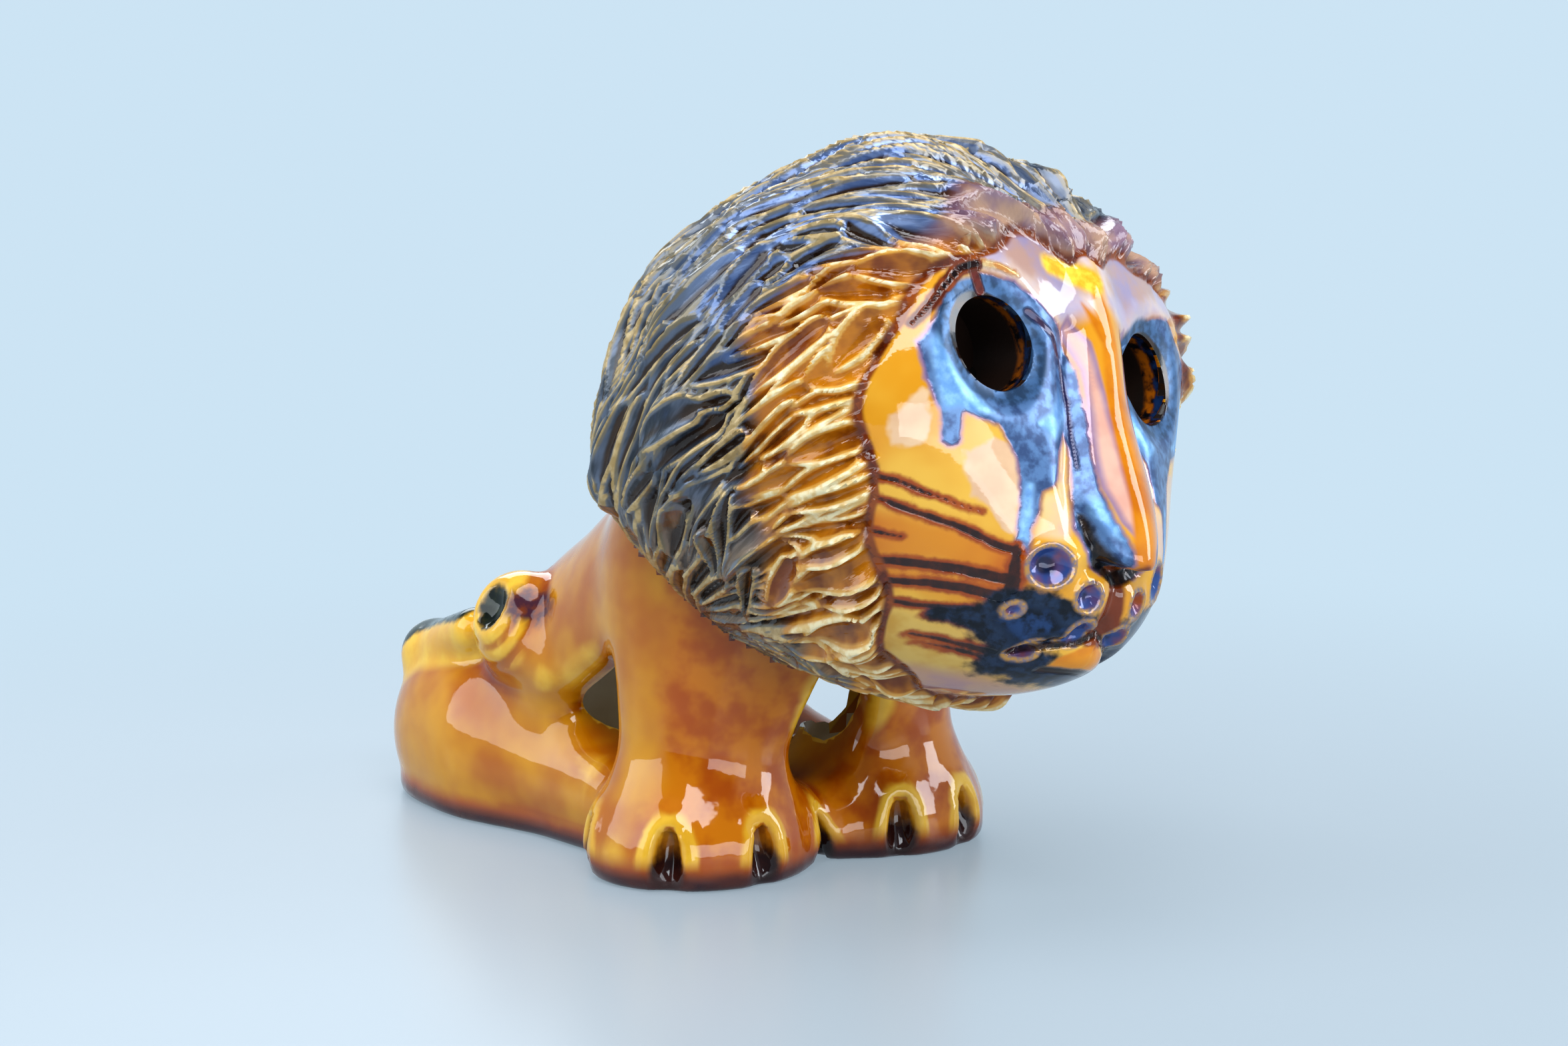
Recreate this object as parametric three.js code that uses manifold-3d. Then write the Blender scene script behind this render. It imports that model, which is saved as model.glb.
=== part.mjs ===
// Glazed pottery lion figure. Millimetres, +Z up, the lion faces -Y, its right flank is at -X.
// One fired piece: a hollow slip-cast body and head, and a thick combed mane fused onto the head.
import * as THREE from 'three';
import Module from 'manifold-3d';

const wasm = await Module();
wasm.setup();

// Overall placing: these bring the middle of the whole figure over the origin.
const PLACE_X = -0.2;
const PLACE_Y = -19.9;

// Wall of the casting
const BODY_WALL = 6;
const HEAD_WALL = 6.5;

// Body
const BODY_MIDDLE_X = 1.3;
const LEG_RADIUS = 17;
const LEG_X = 19.5;
const LEG_Y = 15;
const PAW_X = 22.5;
const PAW_Y = 13.5;
const PAW_HALF_WIDTH = 22.5;
const PAW_HALF_LENGTH = 18.5;
const PAW_HEIGHT = 15;
const SILL_RADIUS = 15;
const FOOT_STRAIGHT = 6;
const FOOT_RIM_ROUNDING = 3;
const FOOT_THICKENING = 2.5;
const ARCH_HALF_WIDTH = 8.5;
const ARCH_FLARE = 3;
const ARCH_SPRING_Z = 30;
const ARCH_ABOVE = 22;
const ARCH_BELOW = 13;
const LIP_ROUNDING = 5;
const CLAW_HALF_WIDTH = 2.4;
const CLAW_HALF_HEIGHT = 7;
const CLAW_Z = 5.5;
const CLAWS_RIGHT_PAW = [-118, -52, 0, 58];
const CLAWS_LEFT_PAW = [-70, -23, 21, 80];

// Head: a globe with a flatter face, rolled towards the lion's left and turned a little that way
const HEAD_X = 0;
const HEAD_Y = -20;
const HEAD_Z = 94;
const HEAD_ROLL = 12 * Math.PI / 180;
const HEAD_YAW = 7 * Math.PI / 180;
const GLOBE_HALF_WIDTH = 52;
const GLOBE_HALF_HEIGHT = 53.5;
const GLOBE_FACE_DEPTH = 49;
const GLOBE_BACK_DEPTH = 62;
const FACE_SQUARENESS = 0.8;
const FACE_MIDDLE_X = 3;

// Face
const EYE_HALF_WIDTH = 9.3;
const EYE_HALF_HEIGHT = 8.6;
const NOSE_TOP_Z = 36;
const NOSE_BOTTOM_Z = -21.5;
const NOSE_HALF_WIDTH = 7.5;
const NOSE_WING_WIDTH = 4;
const NOSE_HEIGHT = 3;
const NOSE_TIP_HEIGHT = 4.2;
const GROOVE_DEPTH = 1.8;
const MOUTH_DEPTH = 2;
const RING_DEPTH = 1.5;

// Mane
const LOCKS = 24;
const LOCK_RELIEF = 1.5;
const MANE_RIM_ANGLE = 52;
const MANE_RIM_THICKNESS = 2.6;

// Mesh sizes
const BODY_CELL = 7;
const BODY_TRIANGLES = 3400;
const HEAD_TRIANGLES = 5100;
const CAVITY_CELL = 9;
const SHORTEST_EDGE = 0.3;

// small mathematics
const clamp = (x, a, b) => Math.min(Math.max(x, a), b);
const mix = (a, b, t) => a + (b - a) * t;

function smooth(a, b, x) {
  const t = clamp((x - a) / (b - a), 0, 1);
  return t * t * (3 - 2 * t);
}

function blendMin(a, b, k) {
  const h = Math.max(k - Math.abs(a - b), 0) / k;
  return Math.min(a, b) - h * h * k / 4;
}

const blendMax = (a, b, k) => -blendMin(-a, -b, k);
const bump = (x, w) => Math.exp(-(x / w) * (x / w));

function ellipsoid(x, y, z, c, r) {
  const ux = (x - c[0]) / r[0];
  const uy = (y - c[1]) / r[1];
  const uz = (z - c[2]) / r[2];
  const k0 = Math.hypot(ux, uy, uz);
  const k1 = Math.hypot(ux / r[0], uy / r[1], uz / r[2]) + 1e-9;
  return k0 * (k0 - 1) / k1;
}

// a bar with round ends whose radius runs from ra at a to rb at b
function roundBar(x, y, z, a, b, ra, rb) {
  const bx = b[0] - a[0];
  const by = b[1] - a[1];
  const bz = b[2] - a[2];
  const along = (x - a[0]) * bx + (y - a[1]) * by + (z - a[2]) * bz;
  const t = clamp(along / (bx * bx + by * by + bz * bz), 0, 1);
  return Math.hypot(x - a[0] - t * bx, y - a[1] - t * by, z - a[2] - t * bz) - mix(ra, rb, t);
}

function pathDistance(x, z, path) {
  let best = 1e3;
  for (let i = 1; i < path.length; i += 1) {
    const [ax, az] = path[i - 1];
    const bx = path[i][0] - ax;
    const bz = path[i][1] - az;
    const t = clamp(((x - ax) * bx + (z - az) * bz) / (bx * bx + bz * bz), 0, 1);
    best = Math.min(best, Math.hypot(x - ax - t * bx, z - az - t * bz));
  }
  return best;
}

// the swelling masses of the body, the same on both sides: trunk, front legs and hind quarters
function bodyMasses(px, y, z) {
  const s = Math.abs(px - BODY_MIDDLE_X);
  let torso = roundBar(s, y, z, [0, 20, 55], [0, 58, 34], 33, 27);
  torso = blendMin(torso, roundBar(s, y, z, [0, 58, 32], [0, 88, 20], 28, 24), 8);
  torso = blendMin(torso, roundBar(s, y, z, [9, 25, 52], [11, 80, 22], 25, 20), 12);
  let leg = roundBar(s, y, z, [18, LEG_Y, 66], [LEG_X, LEG_Y, 36], LEG_RADIUS + 2, LEG_RADIUS);
  const ankle = roundBar(s, y, z, [LEG_X, LEG_Y, 36], [PAW_X, LEG_Y, 10], LEG_RADIUS, LEG_RADIUS + 1);
  leg = blendMin(leg, ankle, 6);
  const paw = ellipsoid(s, y, z, [PAW_X, PAW_Y, 3], [PAW_HALF_WIDTH, PAW_HALF_LENGTH, PAW_HEIGHT]);
  leg = blendMin(leg, paw, 14);
  const haunch = ellipsoid(s, y, z, [18, 91, 14], [21, 33, 25]);
  const hindFoot = roundBar(s, y, z, [19, 78, 13], [21, 38, 11], 17, 14);
  return blendMin(blendMin(torso, leg, 8), blendMin(haunch, hindFoot, 12), 4);
}

// body: distance to its outer skin, the leg gaps left out; its walls come down straight to the foot rim
function bodySkin(px, y, height) {
  const z = Math.max(height, FOOT_STRAIGHT);
  const s = Math.abs(px - BODY_MIDDLE_X);
  const sill = roundBar(s, y, z, [0, 16, 3], [22, 16, 3], SILL_RADIUS, SILL_RADIUS);
  const d = blendMin(bodyMasses(px, y, z), sill, 5);
  // the tail comes round the rump from behind and ends in a tuft on the right flank
  let tail = roundBar(px, y, z, [2, 118, 22], [-22, 111, 30], 6.5, 7);
  tail = blendMin(tail, roundBar(px, y, z, [-22, 111, 30], [-28.5, 85, 39.5], 7, 5), 4);
  tail = blendMin(tail, ellipsoid(px, y, z, [-27, 69, 43], [9, 12.5, 11]), 2);
  tail = blendMin(tail, roundBar(px, y, z, [-27, 66, 41], [-28, 54, 36], 8.5, 6), 8);
  return blendMin(d, tail, 3);
}

// the gap between front leg and hind foot, right across the figure: a rounded triangle
function sideGap(y, z) {
  const top = 0.507 * (y - 47) + 0.862 * (z - 32);
  const bottom = 0.316 * (y - 43) - 0.949 * (z - 23);
  return blendMax(blendMax(top, bottom, 9), 26 - y, 9);
}

// the arch between the front legs
function frontArch(px, y, z) {
  const w = ARCH_HALF_WIDTH + ARCH_FLARE * smooth(-6, 12, y);
  const up = Math.max(z - ARCH_SPRING_Z, 0) / ARCH_ABOVE + Math.max(ARCH_SPRING_Z - z, 0) / ARCH_BELOW;
  const round = Math.hypot((px - BODY_MIDDLE_X) / w, up) * w - w;
  return Math.max(round, y - 45);
}

// one pressed claw: an upright dent on the front of a paw, at an angle round it
function clawDent(px, y, z, pawX, degrees) {
  const a = degrees * Math.PI / 180;
  const cx = pawX + Math.sin(a) * (PAW_HALF_WIDTH - 0.5);
  const cy = PAW_Y - Math.cos(a) * (PAW_HALF_LENGTH + 1.2);
  const across = (px - cx) * Math.cos(a) + (y - cy) * Math.sin(a);
  const out = (px - cx) * Math.sin(a) - (y - cy) * Math.cos(a);
  const lean = out + 0.35 * (z - CLAW_Z);
  return ellipsoid(across, lean, z, [0, 0.6, CLAW_Z], [CLAW_HALF_WIDTH, 3, CLAW_HALF_HEIGHT]);
}

function body(x, y, z) {
  let d = bodySkin(x, y, z);
  d = blendMax(d, -sideGap(y, z), LIP_ROUNDING);
  d = blendMax(d, -frontArch(x, y, z), LIP_ROUNDING);
  if (z < 22 && y < 50) {
    for (const a of CLAWS_RIGHT_PAW) {
      d = blendMax(d, -clawDent(x, y, z, BODY_MIDDLE_X - PAW_X, a), 2);
    }
    for (const a of CLAWS_LEFT_PAW) {
      d = blendMax(d, -clawDent(x, y, z, BODY_MIDDLE_X + PAW_X, a), 2);
    }
  }
  // the round dimple in the tuft and the crease under it
  const dimple = Math.hypot(x + 38, y - 69.5, z - 49) - 6.5;
  d = blendMax(d, -dimple, 2);
  return blendMax(d, -z, FOOT_RIM_ROUNDING);
}

// the room inside the body, open through the underside
function bodyRoom(x, y, z) {
  const straight = Math.max(z, FOOT_STRAIGHT);
  const belly = roundBar(x - BODY_MIDDLE_X, y, straight, [0, 34, 2], [0, 80, 2], 22, 24);
  const wall = BODY_WALL + FOOT_THICKENING * smooth(14, 4, z);
  let d = blendMin(bodyMasses(x, y, straight), belly, 10) + wall;
  d = blendMax(d, z - 56, 6);
  return Math.max(d, -z - 5);
}

// head: distance from its middle to its skin along a direction
const cosR = Math.cos(HEAD_ROLL);
const sinR = Math.sin(HEAD_ROLL);
const cosY = Math.cos(HEAD_YAW);
const sinY = Math.sin(HEAD_YAW);
const AXIS_LEFT = new THREE.Vector3(cosY * cosR, sinY * cosR, -sinR);
const AXIS_BACK = new THREE.Vector3(-sinY, cosY, 0);
const AXIS_UP = new THREE.Vector3().crossVectors(AXIS_LEFT, AXIS_BACK);

function unit(x, y, z) {
  const l = Math.hypot(x, y, z);
  return [x / l, y / l, z / l];
}

// full and hollow places on the globe: direction, height, spread
const GLOBE_SWELLS = [
  { name: 'muzzle', at: unit(0.05, -0.86, -0.52), height: 15.5, spread: 0.09 },
  { name: 'chin', at: unit(0.03, -0.62, -0.80), height: 4, spread: 0.08 },
  { name: 'crown slope', at: unit(-0.5, 0.5, 0.7), height: -4, spread: 0.10 },
  { name: 'right nape', at: unit(-0.79, 0.61, -0.42), height: 4, spread: 0.03 },
  { name: 'right side', at: unit(-0.85, 0.5, 0.1), height: -2, spread: 0.03 },
  { name: 'left temple', at: unit(0.78, -0.45, 0.42), height: 3.5, spread: 0.03 },
  { name: 'left cheek', at: unit(0.8, -0.6, -0.1), height: -1.5, spread: 0.03 },
  { name: 'left jowl', at: unit(0.5, -0.75, -0.5), height: 2.5, spread: 0.03 },
  { name: 'left socket', at: unit(0.42, -0.88, 0.2), height: -3, spread: 0.03 },
  { name: 'right socket', at: unit(-0.33, -0.92, 0.2), height: -3, spread: 0.03 },
];

function globe(x, y, z) {
  const p = 2 + FACE_SQUARENESS * smooth(0.05, -0.5, y);
  const depth = y < 0 ? GLOBE_FACE_DEPTH : GLOBE_BACK_DEPTH;
  const level = (Math.abs(x / GLOBE_HALF_WIDTH) ** p + Math.abs(y / depth) ** p) ** (2 / p);
  let r = 1 / Math.sqrt(level + (z / GLOBE_HALF_HEIGHT) ** 2);
  for (const s of GLOBE_SWELLS) {
    r += s.height * Math.exp(-(1 - x * s.at[0] - y * s.at[1] - z * s.at[2]) / s.spread);
  }
  return r;
}

// The mane's strokes run like the lines of a current from the face round to the nape.
const FLOW_FROM = unit(0.05, -0.95, 0.3);
const FLOW_TO = unit(-0.25, 0.45, -0.86);

function flatten(d) {
  const m = 1 - d[0] + 1e-6;
  return [d[1] / m, d[2] / m];
}

const FROM_FLAT = flatten(FLOW_FROM);
const TO_FLAT = flatten(FLOW_TO);

function flow(x, y, z) {
  const [u, v] = flatten([x, y, z]);
  const ax = u - FROM_FLAT[0];
  const ay = v - FROM_FLAT[1];
  const bx = u - TO_FLAT[0];
  const by = v - TO_FLAT[1];
  const across = Math.atan2(ay * bx - ax * by, ax * bx + ay * by);
  const along = Math.log(Math.hypot(ax, ay) / Math.hypot(bx, by) + 1e-6);
  return [across, along];
}

// degrees behind the mane's front edge, negative on the face
function behindRim(x, y, z, across) {
  const back = Math.atan2(Math.hypot(x, z), -y) * 180 / Math.PI;
  const round = Math.abs(Math.atan2(x, z) * 180 / Math.PI);
  const rim = MANE_RIM_ANGLE - 15 * bump(round, 32) + 13 * smooth(120, 175, round);
  return back - rim + 1.6 * Math.sin(LOCKS * 0.5 * across + 1.3);
}

function maneHeight(x, y, z, across, along, behind) {
  const wave = LOCKS * across + 1.1 * Math.sin(1.7 * along + 2 * across)
    + 0.8 * Math.sin(3.1 * along - 5 * across);
  const row = Math.sin(4.2 * along + 2.3 * Math.sin(LOCKS / 2 * across + 1) + 1.2);
  const toNape = x * FLOW_TO[0] + y * FLOW_TO[1] + z * FLOW_TO[2];
  const toBrow = x * FLOW_FROM[0] + y * FLOW_FROM[1] + z * FLOW_FROM[2];
  const calm = smooth(0, 0.3, 1 - toNape) * smooth(0.01, 0.14, 1 - toBrow);
  const lock = (LOCK_RELIEF + 0.5 * row) * Math.sin(wave) + 0.7 * row;
  const edge = MANE_RIM_THICKNESS * bump(behind - 5, 6);
  return smooth(-1.5, 2.5, behind) * (-0.7 + lock * calm + edge);
}

const NOSE_GROOVE = [[8.5, 17], [9.5, 4], [12, -11], [11, -19], [6, -24.5], [0, -26]];
const LIP_GROOVE = [[0, -26], [0, -35]];
const MOUTH = [[0, -36.6], [3.6, -38.8], [10.4, -41.3], [12.2, -42.6]];
const EYES = [
  { x: -23.2, z: 12.3, lean: -0.16 },
  { x: 22.5, z: 12, lean: -0.10 },
];
const RINGS = [
  { x: -15, z: -26, r: 3.6 },
  { x: -6.8, z: -30.5, r: 2.5 },
  { x: -5.2, z: -37.3, r: 2.4 },
  { x: 15, z: -26, r: 3.6 },
  { x: 6.8, z: -30.5, r: 2.5 },
];

function faceHeight(x, z) {
  const fx = x - FACE_MIDDLE_X;
  const side = Math.abs(fx);
  const ridge = NOSE_HEIGHT * (0.5 + 0.5 * smooth(NOSE_TOP_Z, 8, z)) + NOSE_TIP_HEIGHT * smooth(8, -20, z);
  const half = NOSE_HALF_WIDTH + NOSE_WING_WIDTH * smooth(10, -16, z);
  const tent = blendMax(1.08 - Math.sqrt((fx / half) ** 2 + 0.03), 0, 0.25);
  let h = ridge * tent * smooth(-26, NOSE_BOTTOM_Z, z);
  h -= GROOVE_DEPTH * bump(pathDistance(side, z, NOSE_GROOVE), 2.4);
  h -= 1.3 * bump(pathDistance(side, z, LIP_GROOVE), 1.8);
  h -= MOUTH_DEPTH * bump(pathDistance(side, z, MOUTH), 1.6);
  h += 1.2 * bump(Math.hypot(fx, (z + 42.5) * 2.2), 6);
  for (const ring of RINGS) {
    const q = Math.hypot(fx - ring.x, z - ring.z);
    h += 0.6 * bump(q - ring.r * 1.15, 1) - RING_DEPTH * smooth(ring.r, 0.3 * ring.r, q);
  }
  for (const eye of EYES) {
    const q = Math.hypot((x - eye.x) / 8.2, (z - eye.z) / 9.8);
    h += bump(q - 1.35, 0.28) - 1.5 * smooth(1.5, 0.8, q);
  }
  return h;
}

function headRadius(x, y, z) {
  const r = globe(x, y, z);
  const [across, along] = flow(x, y, z);
  const behind = behindRim(x, y, z, across);
  const bare = (1 - smooth(-1.5, 2.5, behind)) * smooth(-8, -25, y * r);
  const face = bare > 0 ? bare * faceHeight(x * r, z * r) : 0;
  return r + face + maneHeight(x, y, z, across, along, behind);
}

// meshes
// mesh = { points: [[x, y, z]...], faces: [[a, b, c]...] }

// a closed skin of square patches round the places where f is negative
function skinOf(f, low, high, cell) {
  const n = [0, 1, 2].map((i) => Math.ceil((high[i] - low[i]) / cell) + 1);
  const at = (i, j, k) => (k * n[1] + j) * n[0] + i;
  const values = new Float64Array(n[0] * n[1] * n[2]);
  for (let k = 0; k < n[2]; k += 1) {
    for (let j = 0; j < n[1]; j += 1) {
      for (let i = 0; i < n[0]; i += 1) {
        values[at(i, j, k)] = f(low[0] + i * cell, low[1] + j * cell, low[2] + k * cell);
      }
    }
  }
  const points = [];
  const faces = [];
  const cellPoint = new Map();
  const pointOfCell = (i, j, k) => {
    const key = at(i, j, k);
    if (cellPoint.has(key)) {
      return cellPoint.get(key);
    }
    const sum = [0, 0, 0];
    let count = 0;
    for (let axis = 0; axis < 3; axis += 1) {
      const u = (axis + 1) % 3;
      const v = (axis + 2) % 3;
      for (let c = 0; c < 4; c += 1) {
        const a = [i, j, k];
        a[u] += c & 1;
        a[v] += c >> 1;
        const b = [...a];
        b[axis] += 1;
        const fa = values[at(...a)];
        const fb = values[at(...b)];
        if ((fa < 0) !== (fb < 0)) {
          const t = fa / (fa - fb);
          for (let m = 0; m < 3; m += 1) {
            sum[m] += mix(a[m], b[m], t);
          }
          count += 1;
        }
      }
    }
    points.push(sum.map((s, m) => low[m] + s / count * cell));
    cellPoint.set(key, points.length - 1);
    return points.length - 1;
  };
  for (let axis = 0; axis < 3; axis += 1) {
    const u = (axis + 1) % 3;
    const v = (axis + 2) % 3;
    for (let k = 1; k < n[2] - 1; k += 1) {
      for (let j = 1; j < n[1] - 1; j += 1) {
        for (let i = 1; i < n[0] - 1; i += 1) {
          const a = [i, j, k];
          const b = [...a];
          b[axis] += 1;
          const inside = values[at(...a)] < 0;
          if (inside !== (values[at(...b)] < 0)) {
            const ring = [[0, 0], [1, 0], [1, 1], [0, 1]].map(([du, dv]) => {
              const c = [...a];
              c[u] -= du;
              c[v] -= dv;
              return pointOfCell(...c);
            });
            if (!inside) {
              ring.reverse();
            }
            faces.push([ring[0], ring[1], ring[2]], [ring[0], ring[2], ring[3]]);
          }
        }
      }
    }
  }
  return { points, faces };
}

// bring a point onto the surface f = 0
function settle(f, p, rounds = 4) {
  let [x, y, z] = p;
  const e = 0.05;
  for (let i = 0; i < rounds; i += 1) {
    const v = f(x, y, z);
    const gx = (f(x + e, y, z) - f(x - e, y, z)) / (2 * e);
    const gy = (f(x, y + e, z) - f(x, y - e, z)) / (2 * e);
    const gz = (f(x, y, z + e) - f(x, y, z - e)) / (2 * e);
    const g = gx * gx + gy * gy + gz * gz + 1e-6;
    const step = clamp(v / g, -3, 3);
    x -= step * gx;
    y -= step * gy;
    z -= step * gz;
  }
  return [x, y, z];
}

// even out a mesh: each point moves towards the middle of its neighbours and back onto the surface
function relax(mesh, settlePoint, rounds) {
  for (let r = 0; r < rounds; r += 1) {
    const sums = mesh.points.map(() => [0, 0, 0, 0]);
    for (const face of mesh.faces) {
      for (let i = 0; i < 3; i += 1) {
        const s = sums[face[i]];
        const q = mesh.points[face[(i + 1) % 3]];
        s[0] += q[0];
        s[1] += q[1];
        s[2] += q[2];
        s[3] += 1;
      }
    }
    mesh.points = mesh.points.map((p, i) => {
      const s = sums[i];
      return settlePoint([0, 1, 2].map((m) => mix(p[m], s[m] / s[3], 0.5)));
    });
  }
}

// where the other diagonal of two faces lies closer to the surface, turn the edge between them
function turnEdges(mesh, offSurface) {
  const p = mesh.points;
  const off = (a, b) => Math.abs(offSurface([0, 1, 2].map((m) => (p[a][m] + p[b][m]) / 2)));
  const normal = (a, b, c) => {
    const u = [0, 1, 2].map((m) => p[b][m] - p[a][m]);
    const v = [0, 1, 2].map((m) => p[c][m] - p[a][m]);
    return [u[1] * v[2] - u[2] * v[1], u[2] * v[0] - u[0] * v[2], u[0] * v[1] - u[1] * v[0]];
  };
  const dot = (u, v) => u[0] * v[0] + u[1] * v[1] + u[2] * v[2];
  const roundness = (a, b, c) => {
    const n = normal(a, b, c);
    const sides = [[a, b], [b, c], [c, a]].map(([i, j]) => Math.hypot(...p[i].map((q, m) => q - p[j][m])));
    return Math.hypot(...n) / Math.max(...sides) ** 2;
  };
  for (let round = 0; round < 3; round += 1) {
    const sides = new Map();
    const known = new Set();
    mesh.faces.forEach((face, f) => {
      for (let i = 0; i < 3; i += 1) {
        sides.set(face[i] * 1e6 + face[(i + 1) % 3], f);
        known.add(Math.min(face[i], face[(i + 1) % 3]) * 1e6 + Math.max(face[i], face[(i + 1) % 3]));
      }
    });
    const busy = new Set();
    for (const [key, f] of sides) {
      const a = Math.floor(key / 1e6);
      const b = key % 1e6;
      const g = sides.get(b * 1e6 + a);
      if (a < b && !busy.has(f) && !busy.has(g)) {
        const c = mesh.faces[f].find((v) => v !== a && v !== b);
        const d = mesh.faces[g].find((v) => v !== a && v !== b);
        const n1 = normal(a, d, c);
        const n2 = normal(b, c, d);
        const old = normal(a, b, c);
        const safe = dot(n1, n2) > 0 && dot(n1, old) > 0 && dot(n2, old) > 0
          && Math.min(roundness(a, d, c), roundness(b, c, d)) > 0.22;
        if (safe && !known.has(Math.min(c, d) * 1e6 + Math.max(c, d)) && off(c, d) < off(a, b) - 0.03) {
          mesh.faces[f] = [a, d, c];
          mesh.faces[g] = [b, c, d];
          known.add(Math.min(c, d) * 1e6 + Math.max(c, d));
          busy.add(f).add(g);
        }
      }
    }
  }
}

// split the edges that lie furthest off the surface until the mesh has the number of faces asked for
function refine(mesh, settlePoint, offSurface, sizeAt, wanted, rounds, shortest) {
  for (let r = 0; r < rounds; r += 1) {
    turnEdges(mesh, offSurface);
    const edges = new Map();
    for (const face of mesh.faces) {
      for (let i = 0; i < 3; i += 1) {
        const a = Math.min(face[i], face[(i + 1) % 3]);
        const b = Math.max(face[i], face[(i + 1) % 3]);
        const key = a * 1e6 + b;
        if (!edges.has(key)) {
          const pa = mesh.points[a];
          const pb = mesh.points[b];
          const middle = [0, 1, 2].map((m) => (pa[m] + pb[m]) / 2);
          const length = Math.hypot(pa[0] - pb[0], pa[1] - pb[1], pa[2] - pb[2]);
          const coarse = length > sizeAt(middle) ? 10 : 0;
          const off = length < shortest ? 0 : Math.abs(offSurface(middle)) + coarse;
          edges.set(key, { middle, length, off, split: -1 });
        }
      }
    }
    const share = Math.floor((wanted - mesh.faces.length) / 2 / (rounds - r) * 0.8);
    if (share < 2) {
      break;
    }
    const worst = [...edges.values()].filter((e) => e.off > 0.04).sort((a, b) => b.off - a.off).slice(0, share);
    const cut = (edge) => {
      if (edge.split < 0) {
        mesh.points.push(settlePoint(edge.middle));
        edge.split = mesh.points.length - 1;
      }
    };
    worst.forEach(cut);
    const edgesOf = (face) => [0, 1, 2].map((i) => {
      const a = Math.min(face[i], face[(i + 1) % 3]);
      const b = Math.max(face[i], face[(i + 1) % 3]);
      return edges.get(a * 1e6 + b);
    });
    // a face that is cut is also cut across its longest edge, which keeps thin slivers away
    for (const face of mesh.faces) {
      const own = edgesOf(face);
      if (own.some((e) => e.split >= 0)) {
        const longest = own.reduce((a, b) => (b.length > a.length ? b : a));
        if (longest.length > 1.6 * Math.min(...own.map((e) => e.length))) {
          cut(longest);
        }
      }
    }
    const faces = [];
    for (const face of mesh.faces) {
      const s = edgesOf(face).map((e) => e.split);
      const count = s.filter((v) => v >= 0).length;
      if (count === 0) {
        faces.push(face);
      } else if (count === 3) {
        faces.push([face[0], s[0], s[2]], [s[0], face[1], s[1]], [s[2], s[1], face[2]], [s[0], s[1], s[2]]);
      } else if (count === 1) {
        const i = s.findIndex((v) => v >= 0);
        const [a, b, c] = [face[i], face[(i + 1) % 3], face[(i + 2) % 3]];
        faces.push([a, s[i], c], [s[i], b, c]);
      } else {
        const i = s.findIndex((v) => v < 0);
        const [a, b, c] = [face[i], face[(i + 1) % 3], face[(i + 2) % 3]];
        const bc = s[(i + 1) % 3];
        const ca = s[(i + 2) % 3];
        faces.push([c, ca, bc]);
        const pa = mesh.points[a];
        const pb = mesh.points[b];
        const p1 = mesh.points[bc];
        const p2 = mesh.points[ca];
        const d1 = Math.hypot(pa[0] - p1[0], pa[1] - p1[1], pa[2] - p1[2]);
        const d2 = Math.hypot(pb[0] - p2[0], pb[1] - p2[1], pb[2] - p2[2]);
        if (d1 < d2) {
          faces.push([a, b, bc], [a, bc, ca]);
        } else {
          faces.push([a, b, ca], [b, bc, ca]);
        }
      }
    }
    mesh.faces = faces;
  }
  turnEdges(mesh, offSurface);
}

function solid(mesh) {
  const vertProperties = new Float32Array(mesh.points.flat());
  const triVerts = new Uint32Array(mesh.faces.flat());
  return new wasm.Manifold(new wasm.Mesh({ numProp: 3, vertProperties, triVerts }));
}

function closedMesh(geometry) {
  const position = geometry.getAttribute('position');
  const points = [];
  const faces = [];
  const known = new Map();
  const index = [];
  for (let i = 0; i < position.count; i += 1) {
    const p = [position.getX(i), position.getY(i), position.getZ(i)];
    const key = p.map((c) => Math.round(c * 1e4)).join(' ');
    if (!known.has(key)) {
      known.set(key, points.length);
      points.push(p);
    }
    index.push(known.get(key));
  }
  const order = geometry.index ? [...geometry.index.array] : index.map((_, i) => i);
  for (let i = 0; i < order.length; i += 3) {
    const face = [index[order[i]], index[order[i + 1]], index[order[i + 2]]];
    if (new Set(face).size === 3) {
      faces.push(face);
    }
  }
  return { points, faces };
}

// the cuts leave some very short edges: each is closed up to a point where that keeps the skin whole
function closeShortEdges(mesh, shortest) {
  for (let round = 0; round < 6; round += 1) {
    const around = mesh.points.map(() => new Set());
    for (const [a, b, c] of mesh.faces) {
      around[a].add(b).add(c);
      around[b].add(a).add(c);
      around[c].add(a).add(b);
    }
    const moved = mesh.points.map((_, i) => i);
    const busy = new Set();
    let closed = 0;
    for (const face of mesh.faces) {
      for (let i = 0; i < 3; i += 1) {
        const a = face[i];
        const b = face[(i + 1) % 3];
        const pa = mesh.points[a];
        const pb = mesh.points[b];
        const length = Math.hypot(pa[0] - pb[0], pa[1] - pb[1], pa[2] - pb[2]);
        const near = [a, b, ...around[a], ...around[b]];
        if (length < shortest && !near.some((v) => busy.has(v))) {
          const shared = [...around[a]].filter((v) => around[b].has(v));
          if (shared.length === 2) {
            near.forEach((v) => busy.add(v));
            moved[b] = a;
            closed += 1;
          }
        }
      }
    }
    mesh.faces = mesh.faces.map((f) => f.map((v) => moved[v])).filter((f) => new Set(f).size === 3);
    if (closed === 0) {
      break;
    }
  }
  const used = [...new Set(mesh.faces.flat())];
  const place = new Map(used.map((v, i) => [v, i]));
  mesh.points = used.map((v) => mesh.points[v]);
  mesh.faces = mesh.faces.map((f) => f.map((v) => place.get(v)));
}

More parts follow.
